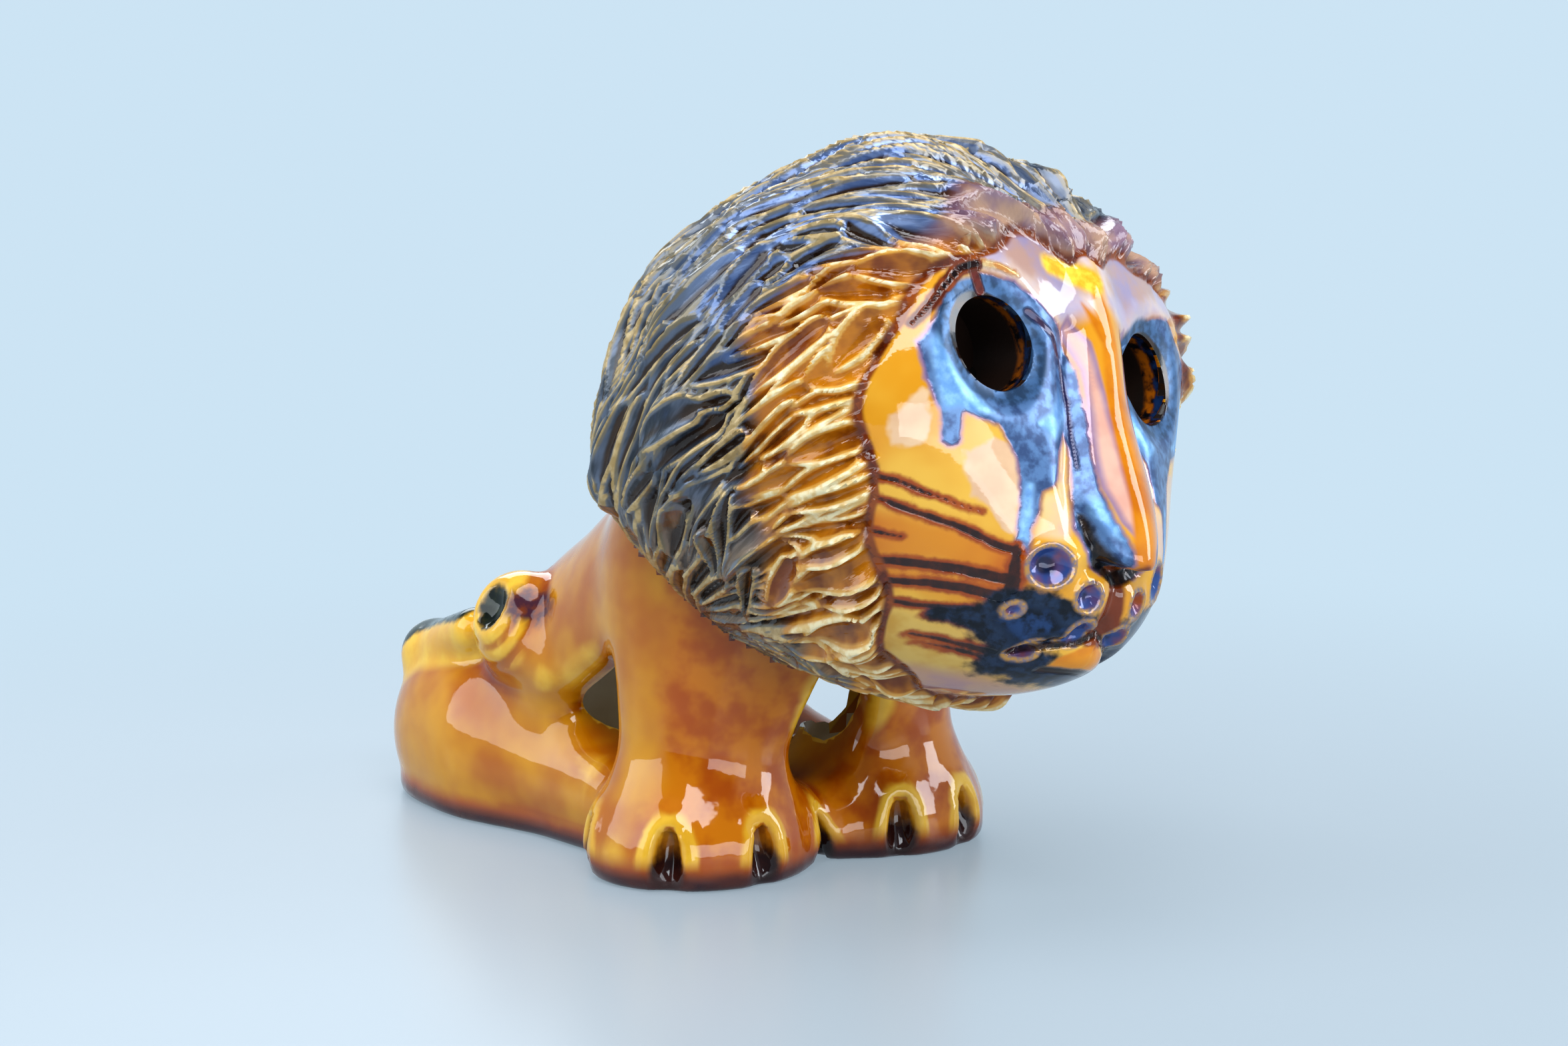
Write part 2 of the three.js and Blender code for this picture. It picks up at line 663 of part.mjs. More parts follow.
// how long an edge may be: short at the pressed claws and at the tail's tuft
function bodyFineness([x, y, z]) {
  let near = Math.hypot(x + 34, y - 69.5, z - 47) - 8;
  for (const [angles, pawX] of [[CLAWS_RIGHT_PAW, -PAW_X], [CLAWS_LEFT_PAW, PAW_X]]) {
    for (const a of angles) {
      near = Math.min(near, clawDent(x, y, z, BODY_MIDDLE_X + pawX, a));
    }
  }
  return near < 3 ? CLAW_HALF_WIDTH * 1.2 : 9;
}

// and short at the nose, the mouth and the stamped rings
function headFineness([x, y, z]) {
  if (y > -35) {
    return 30;
  }
  const fx = x - FACE_MIDDLE_X;
  let near = Math.min(pathDistance(Math.abs(fx), z, MOUTH), pathDistance(Math.abs(fx), z, LIP_GROOVE)) - 1;
  near = Math.min(near, pathDistance(Math.abs(fx), z, NOSE_GROOVE.slice(2)) - 2);
  for (const ring of RINGS) {
    near = Math.min(near, Math.hypot(fx - ring.x, z - ring.z) - ring.r);
  }
  return near < 1 ? 2.6 : 30;
}

function bodySolid() {
  const mesh = skinOf(body, [-62, -24, -9], [64, 138, 96], BODY_CELL);
  const settlePoint = (p) => {
    const q = settle(body, p);
    return Math.abs(q[2]) < 0.02 ? [q[0], q[1], 0] : q;
  };
  mesh.points = mesh.points.map(settlePoint);
  relax(mesh, settlePoint, 3);
  refine(mesh, settlePoint, (p) => body(...p), bodyFineness, BODY_TRIANGLES, 6, 1.4);
  return solid(mesh);
}

function roomSolid() {
  const mesh = skinOf(bodyRoom, [-60, -20, -14], [62, 136, 70], CAVITY_CELL);
  const settlePoint = (p) => settle(bodyRoom, p, 3);
  mesh.points = mesh.points.map(settlePoint);
  relax(mesh, settlePoint, 2);
  return solid(mesh);
}

// local head direction and length to a place in the figure
function headPlace(x, y, z) {
  return [0, 1, 2].map((m) => [HEAD_X, HEAD_Y, HEAD_Z][m]
    + x * AXIS_LEFT.getComponent(m) + y * AXIS_BACK.getComponent(m) + z * AXIS_UP.getComponent(m));
}

function starSolid(radius, detail, wanted) {
  const ball = closedMesh(new THREE.IcosahedronGeometry(1, detail));
  const settlePoint = (p) => {
    const [x, y, z] = unit(...p);
    const r = radius(x, y, z);
    return [x * r, y * r, z * r];
  };
  const offSurface = (p) => {
    const [x, y, z] = unit(...p);
    return Math.hypot(...p) - radius(x, y, z);
  };
  ball.points = ball.points.map(settlePoint);
  if (wanted > 0) {
    refine(ball, settlePoint, offSurface, headFineness, wanted, 6, 1.8);
  }
  ball.points = ball.points.map((p) => headPlace(...p));
  return solid(ball);
}

// a short elliptical drill through the head's wall for one eye
function eyeDrill(eye) {
  const drill = new THREE.CylinderGeometry(1, 1, 1, 28, 1);
  const p = drill.getAttribute('position');
  const nose = unit((eye.x - FACE_MIDDLE_X) * 0.012, -1, 0.1);
  for (let i = 0; i < p.count; i += 1) {
    const depth = p.getY(i) * 44;
    const z = p.getZ(i) * EYE_HALF_HEIGHT;
    const x = p.getX(i) * EYE_HALF_WIDTH + eye.lean * z;
    const place = headPlace(
      eye.x + x + nose[0] * depth,
      -46 + nose[1] * depth,
      eye.z + z + nose[2] * depth,
    );
    p.setXYZ(i, ...place);
  }
  const mesh = closedMesh(drill);
  return mesh;
}

function drillSolid(mesh) {
  const made = solid(mesh);
  if (made.volume() > 0) {
    return made;
  }
  return solid({ points: mesh.points, faces: mesh.faces.map(([a, b, c]) => [a, c, b]) });
}

// the way between the two rooms, through the neck
function neckBore() {
  const bore = new THREE.CylinderGeometry(15, 13, 44, 20, 1);
  bore.rotateX(Math.PI / 2);
  bore.rotateX(0.5);
  bore.translate(BODY_MIDDLE_X, 12, 58);
  return drillSolid(closedMesh(bore));
}

function lionGeometry() {
  let lion = bodySolid().add(starSolid(headRadius, 8, HEAD_TRIANGLES));
  lion = lion.subtract(roomSolid());
  lion = lion.subtract(starSolid((x, y, z) => globe(x, y, z) - HEAD_WALL, 4, 0));
  lion = lion.subtract(neckBore());
  for (const eye of EYES) {
    lion = lion.subtract(drillSolid(eyeDrill(eye)));
  }
  const made = lion.getMesh();
  const mesh = { points: [], faces: [] };
  for (let i = 0; i < made.vertProperties.length; i += 3) {
    mesh.points.push([...made.vertProperties.slice(i, i + 3)]);
  }
  for (let i = 0; i < made.triVerts.length; i += 3) {
    mesh.faces.push([...made.triVerts.slice(i, i + 3)]);
  }
  closeShortEdges(mesh, SHORTEST_EDGE);
  const geometry = new THREE.BufferGeometry();
  geometry.setAttribute('position', new THREE.BufferAttribute(new Float32Array(mesh.points.flat()), 3));
  geometry.setIndex(new THREE.BufferAttribute(new Uint32Array(mesh.faces.flat()), 1));
  geometry.translate(PLACE_X, PLACE_Y, 0);
  geometry.computeVertexNormals();
  return geometry;
}

const glaze = new THREE.MeshStandardMaterial({ color: 0xb8740f, roughness: 0.2, metalness: 0 });
const lionMesh = new THREE.Mesh(lionGeometry(), glaze);
lionMesh.name = 'lion';

const figure = new THREE.Group();
figure.name = 'pottery_lion';
figure.add(lionMesh);
export default figure;
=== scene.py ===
"""Glazed pottery lion: a hollow slip-cast body and head, with a thick combed mane fused on.

Lengths are millimetres while the clay is shaped, and metres once a mesh is made.
The lion faces -Y, its right flank is at -X, and the body's mirror plane is BODY_MIDDLE_X.
"""
import math

import bpy
import numpy as np
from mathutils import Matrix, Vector


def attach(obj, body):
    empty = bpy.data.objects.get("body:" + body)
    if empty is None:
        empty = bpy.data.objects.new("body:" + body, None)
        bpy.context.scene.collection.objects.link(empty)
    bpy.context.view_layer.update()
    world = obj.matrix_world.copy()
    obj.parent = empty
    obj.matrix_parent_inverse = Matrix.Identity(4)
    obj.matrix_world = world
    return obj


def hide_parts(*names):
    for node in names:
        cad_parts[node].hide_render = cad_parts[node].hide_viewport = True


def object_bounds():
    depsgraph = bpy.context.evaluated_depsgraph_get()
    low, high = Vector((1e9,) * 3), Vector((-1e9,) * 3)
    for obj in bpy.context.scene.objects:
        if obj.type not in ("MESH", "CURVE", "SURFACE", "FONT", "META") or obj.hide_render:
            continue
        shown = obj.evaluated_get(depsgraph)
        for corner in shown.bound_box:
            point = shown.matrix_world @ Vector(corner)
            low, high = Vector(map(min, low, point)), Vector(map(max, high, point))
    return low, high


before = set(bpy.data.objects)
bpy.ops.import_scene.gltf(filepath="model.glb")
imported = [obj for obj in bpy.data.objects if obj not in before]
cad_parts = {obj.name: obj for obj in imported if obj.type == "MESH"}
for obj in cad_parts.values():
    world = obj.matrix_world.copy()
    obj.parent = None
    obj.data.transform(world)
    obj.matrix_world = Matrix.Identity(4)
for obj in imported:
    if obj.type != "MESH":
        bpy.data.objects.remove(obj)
bpy.context.view_layer.update()
cad_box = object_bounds()

MM = 0.001

# Sizes, as in the solid
PLACE = np.array([-0.2, -19.9, 0.0])

BODY_WALL = 6.0
HEAD_WALL = 6.5

BODY_MIDDLE_X = 1.3
LEG_RADIUS = 17.0
LEG_X = 19.5
LEG_Y = 15.0
PAW_X = 22.5
PAW_Y = 13.5
PAW_HALF_WIDTH = 22.5
PAW_HALF_LENGTH = 18.5
PAW_HEIGHT = 15.0
SILL_RADIUS = 15.0
FOOT_STRAIGHT = 6.0
FOOT_RIM_ROUNDING = 3.0
FOOT_THICKENING = 2.5
ARCH_HALF_WIDTH = 8.5
ARCH_FLARE = 3.0
ARCH_SPRING_Z = 30.0
ARCH_ABOVE = 22.0
ARCH_BELOW = 13.0
LIP_ROUNDING = 5.0
CLAW_HALF_WIDTH = 2.4
CLAW_HALF_HEIGHT = 7.0
CLAW_Z = 5.5
CLAWS_RIGHT_PAW = (-118, -52, 0, 58)
CLAWS_LEFT_PAW = (-70, -23, 21, 80)

HEAD_MIDDLE = np.array([0.0, -20.0, 94.0])
HEAD_ROLL = math.radians(12)
HEAD_YAW = math.radians(7)
GLOBE_HALF_WIDTH = 52.0
GLOBE_HALF_HEIGHT = 53.5
GLOBE_FACE_DEPTH = 49.0
GLOBE_BACK_DEPTH = 62.0
FACE_SQUARENESS = 0.8
FACE_MIDDLE_X = 3.0

EYE_HALF_WIDTH = 9.3
EYE_HALF_HEIGHT = 8.6
NOSE_TOP_Z = 36.0
NOSE_BOTTOM_Z = -21.5
NOSE_HALF_WIDTH = 7.5
NOSE_WING_WIDTH = 4.0
NOSE_HEIGHT = 3.0
NOSE_TIP_HEIGHT = 4.2
GROOVE_DEPTH = 1.8
LIP_GROOVE_DEPTH = 1.3
NOSTRIL_DEPTH = 1.0
MOUTH_DEPTH = 2.0
RING_DEPTH = 1.5
RING_LIP = 0.55
SOCKET_DEPTH = 1.5

LOCKS = 24
LOCK_RELIEF = 1.5
MANE_RIM_ANGLE = 52.0
MANE_RIM_THICKNESS = 2.6


# Small mathematics
def smooth(a, b, x):
    t = np.clip((x - a) / (b - a), 0, 1)
    return t * t * (3 - 2 * t)


def mix(a, b, t):
    return a + (b - a) * t


def blend_min(a, b, k):
    h = np.maximum(k - np.abs(a - b), 0) / k
    return np.minimum(a, b) - h * h * k / 4


def blend_max(a, b, k):
    return -blend_min(-a, -b, k)


def bump(x, w):
    return np.exp(-(x / w) ** 2)


def unit(*v):
    v = np.array(v, float)
    return v / np.linalg.norm(v)


def ellipsoid(x, y, z, c, r):
    u = [(x - c[0]) / r[0], (y - c[1]) / r[1], (z - c[2]) / r[2]]
    k0 = np.sqrt(sum(v * v for v in u))
    k1 = np.sqrt(sum((v / s) ** 2 for v, s in zip(u, r))) + 1e-9
    return k0 * (k0 - 1) / k1


def round_bar(x, y, z, a, b, ra, rb):
    """A bar with round ends whose radius runs from ra at a to rb at b."""
    e = np.subtract(b, a)
    t = np.clip(((x - a[0]) * e[0] + (y - a[1]) * e[1] + (z - a[2]) * e[2]) / (e @ e), 0, 1)
    return np.sqrt((x - a[0] - t * e[0]) ** 2 + (y - a[1] - t * e[1]) ** 2
                   + (z - a[2] - t * e[2]) ** 2) - mix(ra, rb, t)


def path_distance(x, z, path, r0=0.0, r1=0.0):
    """Distance to a drawn line, less a half width that runs from r0 to r1."""
    best = np.full(np.shape(x), 1e3)
    spans = len(path) - 1
    for i in range(spans):
        ax, az = path[i]
        bx, bz = path[i + 1][0] - ax, path[i + 1][1] - az
        t = np.clip(((x - ax) * bx + (z - az) * bz) / (bx * bx + bz * bz), 0, 1)
        wide = mix(r0, r1, (i + t) / spans)
        best = np.minimum(best, np.hypot(x - ax - t * bx, z - az - t * bz) - wide)
    return best


# Body
def body_masses(px, y, z):
    """Trunk, front legs and hind quarters, the same on both sides."""
    s = np.abs(px - BODY_MIDDLE_X)
    torso = round_bar(s, y, z, (0, 20, 55), (0, 58, 34), 33, 27)
    torso = blend_min(torso, round_bar(s, y, z, (0, 58, 32), (0, 88, 20), 28, 24), 8)
    torso = blend_min(torso, round_bar(s, y, z, (9, 25, 52), (11, 80, 22), 25, 20), 12)
    leg = round_bar(s, y, z, (18, LEG_Y, 66), (LEG_X, LEG_Y, 36), LEG_RADIUS + 2, LEG_RADIUS)
    ankle = round_bar(s, y, z, (LEG_X, LEG_Y, 36), (PAW_X, LEG_Y, 10), LEG_RADIUS, LEG_RADIUS + 1)
    leg = blend_min(leg, ankle, 6)
    paw = ellipsoid(s, y, z, (PAW_X, PAW_Y, 3), (PAW_HALF_WIDTH, PAW_HALF_LENGTH, PAW_HEIGHT))
    leg = blend_min(leg, paw, 14)
    haunch = ellipsoid(s, y, z, (18, 91, 14), (21, 33, 25))
    hind_foot = round_bar(s, y, z, (19, 78, 13), (21, 38, 11), 17, 14)
    return blend_min(blend_min(torso, leg, 8), blend_min(haunch, hind_foot, 12), 4)


def tail_bars(px, y, z):
    """The tail comes round the rump from behind and ends in a tuft on the right flank."""
    tail = round_bar(px, y, z, (2, 118, 22), (-22, 111, 30), 6.5, 7)
    return blend_min(tail, round_bar(px, y, z, (-22, 111, 30), (-28.5, 85, 39.5), 7, 5), 4)


def tuft_pad(px, y, z):
    pad = ellipsoid(px, y, z, (-27, 69, 43), (9, 12.5, 11))
    return blend_min(pad, round_bar(px, y, z, (-27, 66, 41), (-28, 54, 36), 8.5, 6), 8)


def body_skin(px, y, height):
    z = np.maximum(height, FOOT_STRAIGHT)
    s = np.abs(px - BODY_MIDDLE_X)
    sill = round_bar(s, y, z, (0, 16, 3), (22, 16, 3), SILL_RADIUS, SILL_RADIUS)
    d = blend_min(body_masses(px, y, z), sill, 5)
    tail = blend_min(tail_bars(px, y, z), tuft_pad(px, y, z), 2)
    return blend_min(d, tail, 3)


def side_gap(y, z):
    """The gap between front leg and hind foot, right across the figure: a rounded triangle."""
    top = 0.507 * (y - 47) + 0.862 * (z - 32)
    bottom = 0.316 * (y - 43) - 0.949 * (z - 23)
    return blend_max(blend_max(top, bottom, 9), 26 - y, 9)


def front_arch(px, y, z):
    w = ARCH_HALF_WIDTH + ARCH_FLARE * smooth(-6, 12, y)
    up = np.maximum(z - ARCH_SPRING_Z, 0) / ARCH_ABOVE + np.maximum(ARCH_SPRING_Z - z, 0) / ARCH_BELOW
    return np.maximum(np.hypot((px - BODY_MIDDLE_X) / w, up) * w - w, y - 45)


def claws(px, y, z):
    """Upright dents pressed into the front of each paw."""
    best = np.full(np.shape(px), 1e3)
    for side, angles in ((-1, CLAWS_RIGHT_PAW), (1, CLAWS_LEFT_PAW)):
        for degrees in angles:
            a = math.radians(degrees)
            cx = BODY_MIDDLE_X + side * PAW_X + math.sin(a) * (PAW_HALF_WIDTH - 0.5)
            cy = PAW_Y - math.cos(a) * (PAW_HALF_LENGTH + 1.2)
            across = (px - cx) * math.cos(a) + (y - cy) * math.sin(a)
            out = (px - cx) * math.sin(a) - (y - cy) * math.cos(a)
            lean = out + 0.35 * (z - CLAW_Z)
            size = (CLAW_HALF_WIDTH, 3, CLAW_HALF_HEIGHT)
            best = np.minimum(best, ellipsoid(across, lean, z, (0, 0.6, CLAW_Z), size))
    return best


DIMPLE = (-38.0, 69.5, 49.0)
DIMPLE_RADIUS = 6.0
# two grooves fold the tuft, round the dimple at these distances; yellow shows on the ridges beside them
TUFT_GROOVES = (10.2, 14.2)
TUFT_GROOVE_DEPTH = 0.55
TUFT_RIDGES = (8.4, 12.3)
TOE_SWELL = 0.8


def from_dimple(x, y, z):
    return np.sqrt((x - DIMPLE[0]) ** 2 + (y - DIMPLE[1]) ** 2 + (z - DIMPLE[2]) ** 2)


def body(p):
    x, y, z = p[..., 0], p[..., 1], p[..., 2]
    d = body_skin(x, y, z)
    d = blend_max(d, -side_gap(y, z), LIP_ROUNDING)
    d = blend_max(d, -front_arch(x, y, z), LIP_ROUNDING)
    claw = claws(x, y, z)
    # soft clay swells round each claw, and the tuft is folded under its dimple
    d = blend_max(d - TOE_SWELL * bump(claw - 2.2, 1.6) * smooth(2, 5, z), -claw, 2)
    reach = from_dimple(x, y, z)
    d = blend_max(d, DIMPLE_RADIUS - reach, 2)
    grooves = sum(bump(reach - groove, 0.9) for groove in TUFT_GROOVES)
    d = d + TUFT_GROOVE_DEPTH * smooth(48, 43, z) * grooves
    return blend_max(d, -z, FOOT_RIM_ROUNDING)


def body_room(p):
    x, y, z = p[..., 0], p[..., 1], p[..., 2]
    straight = np.maximum(z, FOOT_STRAIGHT)
    belly = round_bar(x - BODY_MIDDLE_X, y, straight, (0, 34, 2), (0, 80, 2), 22, 24)
    wall = BODY_WALL + FOOT_THICKENING * smooth(14, 4, z)
    d = blend_min(body_masses(x, y, straight), belly, 10) + wall
    return np.maximum(blend_max(d, z - 56, 6), -z - 5)


# Head
def head_axes():
    cr, sr = math.cos(HEAD_ROLL), math.sin(HEAD_ROLL)
    cy, sy = math.cos(HEAD_YAW), math.sin(HEAD_YAW)
    left = np.array([cy * cr, sy * cr, -sr])
    back = np.array([-sy, cy, 0.0])
    return np.stack([left, back, np.cross(left, back)])


HEAD_AXES = head_axes()

# each swell of the globe: where, which way from the middle, how high in mm, and how broad
GLOBE_SWELLS = (
    ("muzzle", unit(0.05, -0.86, -0.52), 15.5, 0.09),
    ("chin", unit(0.03, -0.62, -0.80), 4, 0.08),
    ("crown slope", unit(-0.5, 0.5, 0.7), -4, 0.10),
    ("right nape", unit(-0.79, 0.61, -0.42), 4, 0.03),
    ("right side", unit(-0.85, 0.5, 0.1), -2, 0.03),
    ("left temple", unit(0.78, -0.45, 0.42), 3.5, 0.03),
    ("left cheek", unit(0.8, -0.6, -0.1), -1.5, 0.03),
    ("left jowl", unit(0.5, -0.75, -0.5), 2.5, 0.03),
    ("left socket", unit(0.42, -0.88, 0.2), -3, 0.03),
    ("right socket", unit(-0.33, -0.92, 0.2), -3, 0.03),
)


def globe(d):
    x, y, z = d[..., 0], d[..., 1], d[..., 2]
    p = 2 + FACE_SQUARENESS * smooth(0.05, -0.5, y)
    depth = np.where(y < 0, GLOBE_FACE_DEPTH, GLOBE_BACK_DEPTH)
    level = (np.abs(x / GLOBE_HALF_WIDTH) ** p + np.abs(y / depth) ** p) ** (2 / p)
    r = 1 / np.sqrt(level + (z / GLOBE_HALF_HEIGHT) ** 2)
    for _, at, height, breadth in GLOBE_SWELLS:
        r = r + height * np.exp(-(1 - d @ at) / breadth)
    return r


# the mane's strokes run like the lines of a current from the face round to the nape
FLOW_FROM = unit(0.05, -0.95, 0.3)
FLOW_TO = unit(-0.25, 0.45, -0.86)

# how far towards each end the ball's lines run, and where half of them stop
FLOW_ENDS = (-4.4, 4.4)
HALVINGS_BROW = (1.5, 2.1, 2.8)
HALVINGS_NAPE = (1.1, 1.8, 2.5)
# rows before this one cross the face, and lie closer by this much
FACE_ROWS_END = -0.9
FACE_ROWS_CLOSER = 0.7
# the first line stands this far round, in radians, so that no line runs along another mesh's
FIRST_LINE = 0.011


def flatten(d):
    m = 1 - d[..., 0] + 1e-6
    return (d[..., 1] + 1j * d[..., 2]) / m


def flow(d):
    w = flatten(d)
    w = (w - flatten(FLOW_FROM)) / (w - flatten(FLOW_TO))
    return np.angle(w), np.log(np.abs(w) + 1e-6)


def rim_angle(turn):
    """Where the mane's front edge stands, in degrees from the face's middle, at a turn from the crown."""
    over_right_eye = 6 * bump(turn + 48, 15)
    turn = np.abs(turn)
    return MANE_RIM_ANGLE - 15 * bump(turn, 32) + 13 * smooth(120, 175, turn) - over_right_eye


def behind_rim(d, across):
    back = np.degrees(np.arctan2(np.hypot(d[..., 0], d[..., 2]), -d[..., 1]))
    turn = np.degrees(np.arctan2(d[..., 0], d[..., 2]))
    return back - rim_angle(turn) + 1.6 * np.sin(LOCKS * 0.5 * across + 1.3)


def lock_height(d, across, along, behind):
    """The mane's big locks, as in the solid."""
    wave = LOCKS * across
    wave = wave + 1.1 * np.sin(1.7 * along + 2 * across) + 0.8 * np.sin(3.1 * along - 5 * across)
    row = np.sin(4.2 * along + 2.3 * np.sin(LOCKS / 2 * across + 1) + 1.2)
    calm = smooth(0, 0.3, 1 - d @ FLOW_TO) * smooth(0.01, 0.14, 1 - d @ FLOW_FROM)
    lock = (LOCK_RELIEF + 0.5 * row) * np.sin(wave) + 0.7 * row
    return lock * calm, MANE_RIM_THICKNESS * bump(behind - 5, 6)


NOSE_GROOVE = ((8.5, 17), (9.5, 4), (12, -11), (11, -19), (6, -24.5), (0, -26))
LIP_GROOVE = ((0, -26), (0, -35))
NOSTRIL = ((9.8, -16.5), (8.3, -20.5), (5.2, -24.4), (1.0, -26.4))
MOUTH = ((0, -36.6), (3.6, -38.8), (10.4, -41.3), (12.2, -42.6))
# each eye: across, up, and how far its outline leans
EYES = ((-23.2, 12.3, -0.16), (22.5, 12.0, -0.10))
# the whisker pits: across from the face's middle, up, and radius
RINGS = ((-15.0, -26.0, 3.6), (-6.8, -30.5, 2.5), (-5.2, -37.3, 2.4), (15.0, -26.0, 3.6),
         (6.8, -30.5, 2.5), (5.2, -37.3, 2.4), (-17.9, -34.7, 1.1), (-11.2, -41.6, 1.8))


def face_height(x, z):
    fx = x - FACE_MIDDLE_X
    side = np.abs(fx)
    ridge = NOSE_HEIGHT * (0.5 + 0.5 * smooth(NOSE_TOP_Z, 8, z)) + NOSE_TIP_HEIGHT * smooth(8, -20, z)
    half = NOSE_HALF_WIDTH + NOSE_WING_WIDTH * smooth(10, -16, z)
    tent = blend_max(1.08 - np.sqrt((fx / half) ** 2 + 0.03), 0, 0.25)
    h = ridge * tent * smooth(-26, NOSE_BOTTOM_Z, z)
    h = h - GROOVE_DEPTH * bump(path_distance(side, z, NOSE_GROOVE), 2.4)
    h = h - LIP_GROOVE_DEPTH * bump(path_distance(side, z, LIP_GROOVE), 1.8)
    h = h - NOSTRIL_DEPTH * bump(path_distance(side, z, NOSTRIL), 1.1)
    h = h - MOUTH_DEPTH * bump(path_distance(side, z, MOUTH), 1.6)
    h = h + 1.2 * bump(np.hypot(fx, (z + 42.5) * 2.2), 6)
    for rx, rz, r in RINGS:
        q = np.hypot(fx - rx, z - rz)
        h = h + RING_LIP * bump(q - r * 1.15, 0.8) - RING_DEPTH * min(1, r / 3) * smooth(r, 0.3 * r, q)
    for ex, ez, _ in EYES:
        q = np.hypot((x - ex) / 8.2, (z - ez) / 9.8)
        h = h + 0.3 * bump(q - 1.4, 0.3) - SOCKET_DEPTH * smooth(1.5, 0.8, q)
    return h


# Strokes combed into the mane: a blunt stick dragged through soft clay leaves a trough 3 to 6 mm wide,
# with a thin burr on each side.
LONG_STROKES = 540
SHORT_STROKES = 300
TEETH = 46
LONG_STROKE = (24.0, 50.0)
SHORT_STROKE = (12.0, 26.0)
TOOTH = (11.0, 23.0)
STROKE_HALF_WIDTH = (1.3, 3.2)
TOOTH_HALF_WIDTH = (1.7, 3.9)
SWATHE_LEAN = 0.30
TROUGH_DEPTH = 1.25
BURR_HEIGHT = 0.75
BURR_WIDTH = 0.75
MANE_SETBACK = -0.9
MEAN_RADIUS = 54.0


def flow_direction(d):
    """Unit tangents on the globe that point along the strokes, from the face to the nape."""
    e1 = np.cross(d, (0.31, 0.22, 0.92))
    e1 /= np.linalg.norm(e1, axis=-1, keepdims=True)
    e2 = np.cross(d, e1)
    step = 1e-3
    g = [(flow(d + step * e)[1] - flow(d - step * e)[1])[..., None] * e for e in (e1, e2)]
    t = g[0] + g[1]
    return t / np.linalg.norm(t, axis=-1, keepdims=True)


def spread(dice, count, loose):
    """Directions laid out evenly over the mane, each a little out of its place."""
    k = np.arange(count) + 0.5
    lift = 1 - 2 * k / count
    turn = k * math.pi * (3 - math.sqrt(5))
    ring = np.sqrt(1 - lift * lift)
    middles = np.stack([ring * np.cos(turn), lift, ring * np.sin(turn)], 1)
    middles += dice.normal(0, loose, middles.shape)
    middles /= np.linalg.norm(middles, axis=1, keepdims=True)
    middles = middles[behind_rim(middles, flow(middles)[0]) > 6]
    return middles[dice.permutation(len(middles))]


def lay_strokes():
    """Middle, direction, bend, size and lift of every stroke, in the order they are drawn."""
    dice = np.random.default_rng(7)
    long_ones = spread(dice, LONG_STROKES, 0.04)
    short_ones = spread(dice, SHORT_STROKES, 0.06)
    # the teeth: short broad strokes that start on the mane's front edge, drawn last
    turns = np.linspace(-180, 180, TEETH, endpoint=False) + dice.uniform(-3, 3, TEETH)
    back = np.radians(rim_angle(turns) + dice.uniform(4.5, 12.0, TEETH))
    turns = np.radians(turns)
    teeth = np.stack([np.sin(back) * np.sin(turns), -np.cos(back), np.sin(back) * np.cos(turns)], 1)
    kinds = ((long_ones, LONG_STROKE, STROKE_HALF_WIDTH, (-0.5, 0.5), 0.09),
             (short_ones, SHORT_STROKE, STROKE_HALF_WIDTH, (-0.3, 0.8), 0.20),
             (teeth, TOOTH, TOOTH_HALF_WIDTH, (0.0, 1.2), 0.20))
    middles = np.concatenate([kind[0] for kind in kinds])
    length, half, raised = (
        np.concatenate([dice.uniform(*kind[m], len(kind[0])) for kind in kinds]) for m in (1, 2, 3))
    skew = np.concatenate([dice.normal(0, kind[4], len(kind[0])) for kind in kinds])
    along = flow_direction(middles)
    step = 0.12
    ahead = middles + step * along
    ahead /= np.linalg.norm(ahead, axis=1, keepdims=True)
    side = np.cross(middles, along)
    bend = np.sum(flow_direction(ahead) * side, 1) / step
    # swathes of strokes lean together
    x, y, z = middles.T
    swathe = np.sin(6.1 * x + 2.0 * y + 1.0) * np.sin(5.3 * z - 3.0 * y)
    skew = (skew + SWATHE_LEAN * swathe)[:, None]
    along = along * np.cos(skew) + side * np.sin(skew)
    side = np.cross(middles, along)
    return middles, along, side, np.clip(bend, -2, 2), length, half, raised


def comb(d):
    """Height in mm and burr (0 to 1) of the strokes at directions d."""
    height = np.zeros(len(d))
    burr = np.zeros(len(d))
    for c, t, s, bend, length, half, raised in zip(*lay_strokes()):
        reach = (length / 2 + 3) / MEAN_RADIUS
        near = np.nonzero(d @ c > math.cos(reach))[0]
        if len(near) == 0:
            continue
        q = d[near] - c
        v = q @ t * MEAN_RADIUS
        u = q @ s * MEAN_RADIUS - bend * v * v / (2 * MEAN_RADIUS)
        place = np.clip(v / length + 0.5, 0, 1)
        wide = half * np.sqrt(smooth(-0.04, 0.16, place)) * smooth(1.06, 0.45, place) ** 0.6
        inside = wide - np.abs(u)
        tip = smooth(0.0, 0.05, place) * smooth(1.0, 0.9, place)
        cover = smooth(-1.1, 0.15, inside) * tip
        edge = bump(inside, BURR_WIDTH) * smooth(1.0, 0.7, place)
        trough = TROUGH_DEPTH * smooth(0.0, half, inside)
        stroke = raised * (1 - place) - trough + BURR_HEIGHT * edge
        height[near] = mix(height[near], stroke, cover)
        burr[near] = mix(burr[near], edge, cover)
    return height, burr


def clumps(d):
    """Low swellings of the mane, -2 to 2, that gather its strokes into clumps."""
    x, y, z = d[..., 0], d[..., 1], d[..., 2]
    front = np.sin(9.3 * x + 2.1 * y + 1) * np.sin(8.1 * y - 3.3 * z + 2)
    return front + np.sin(7.7 * z + 2.7 * x) * np.sin(11 * y)


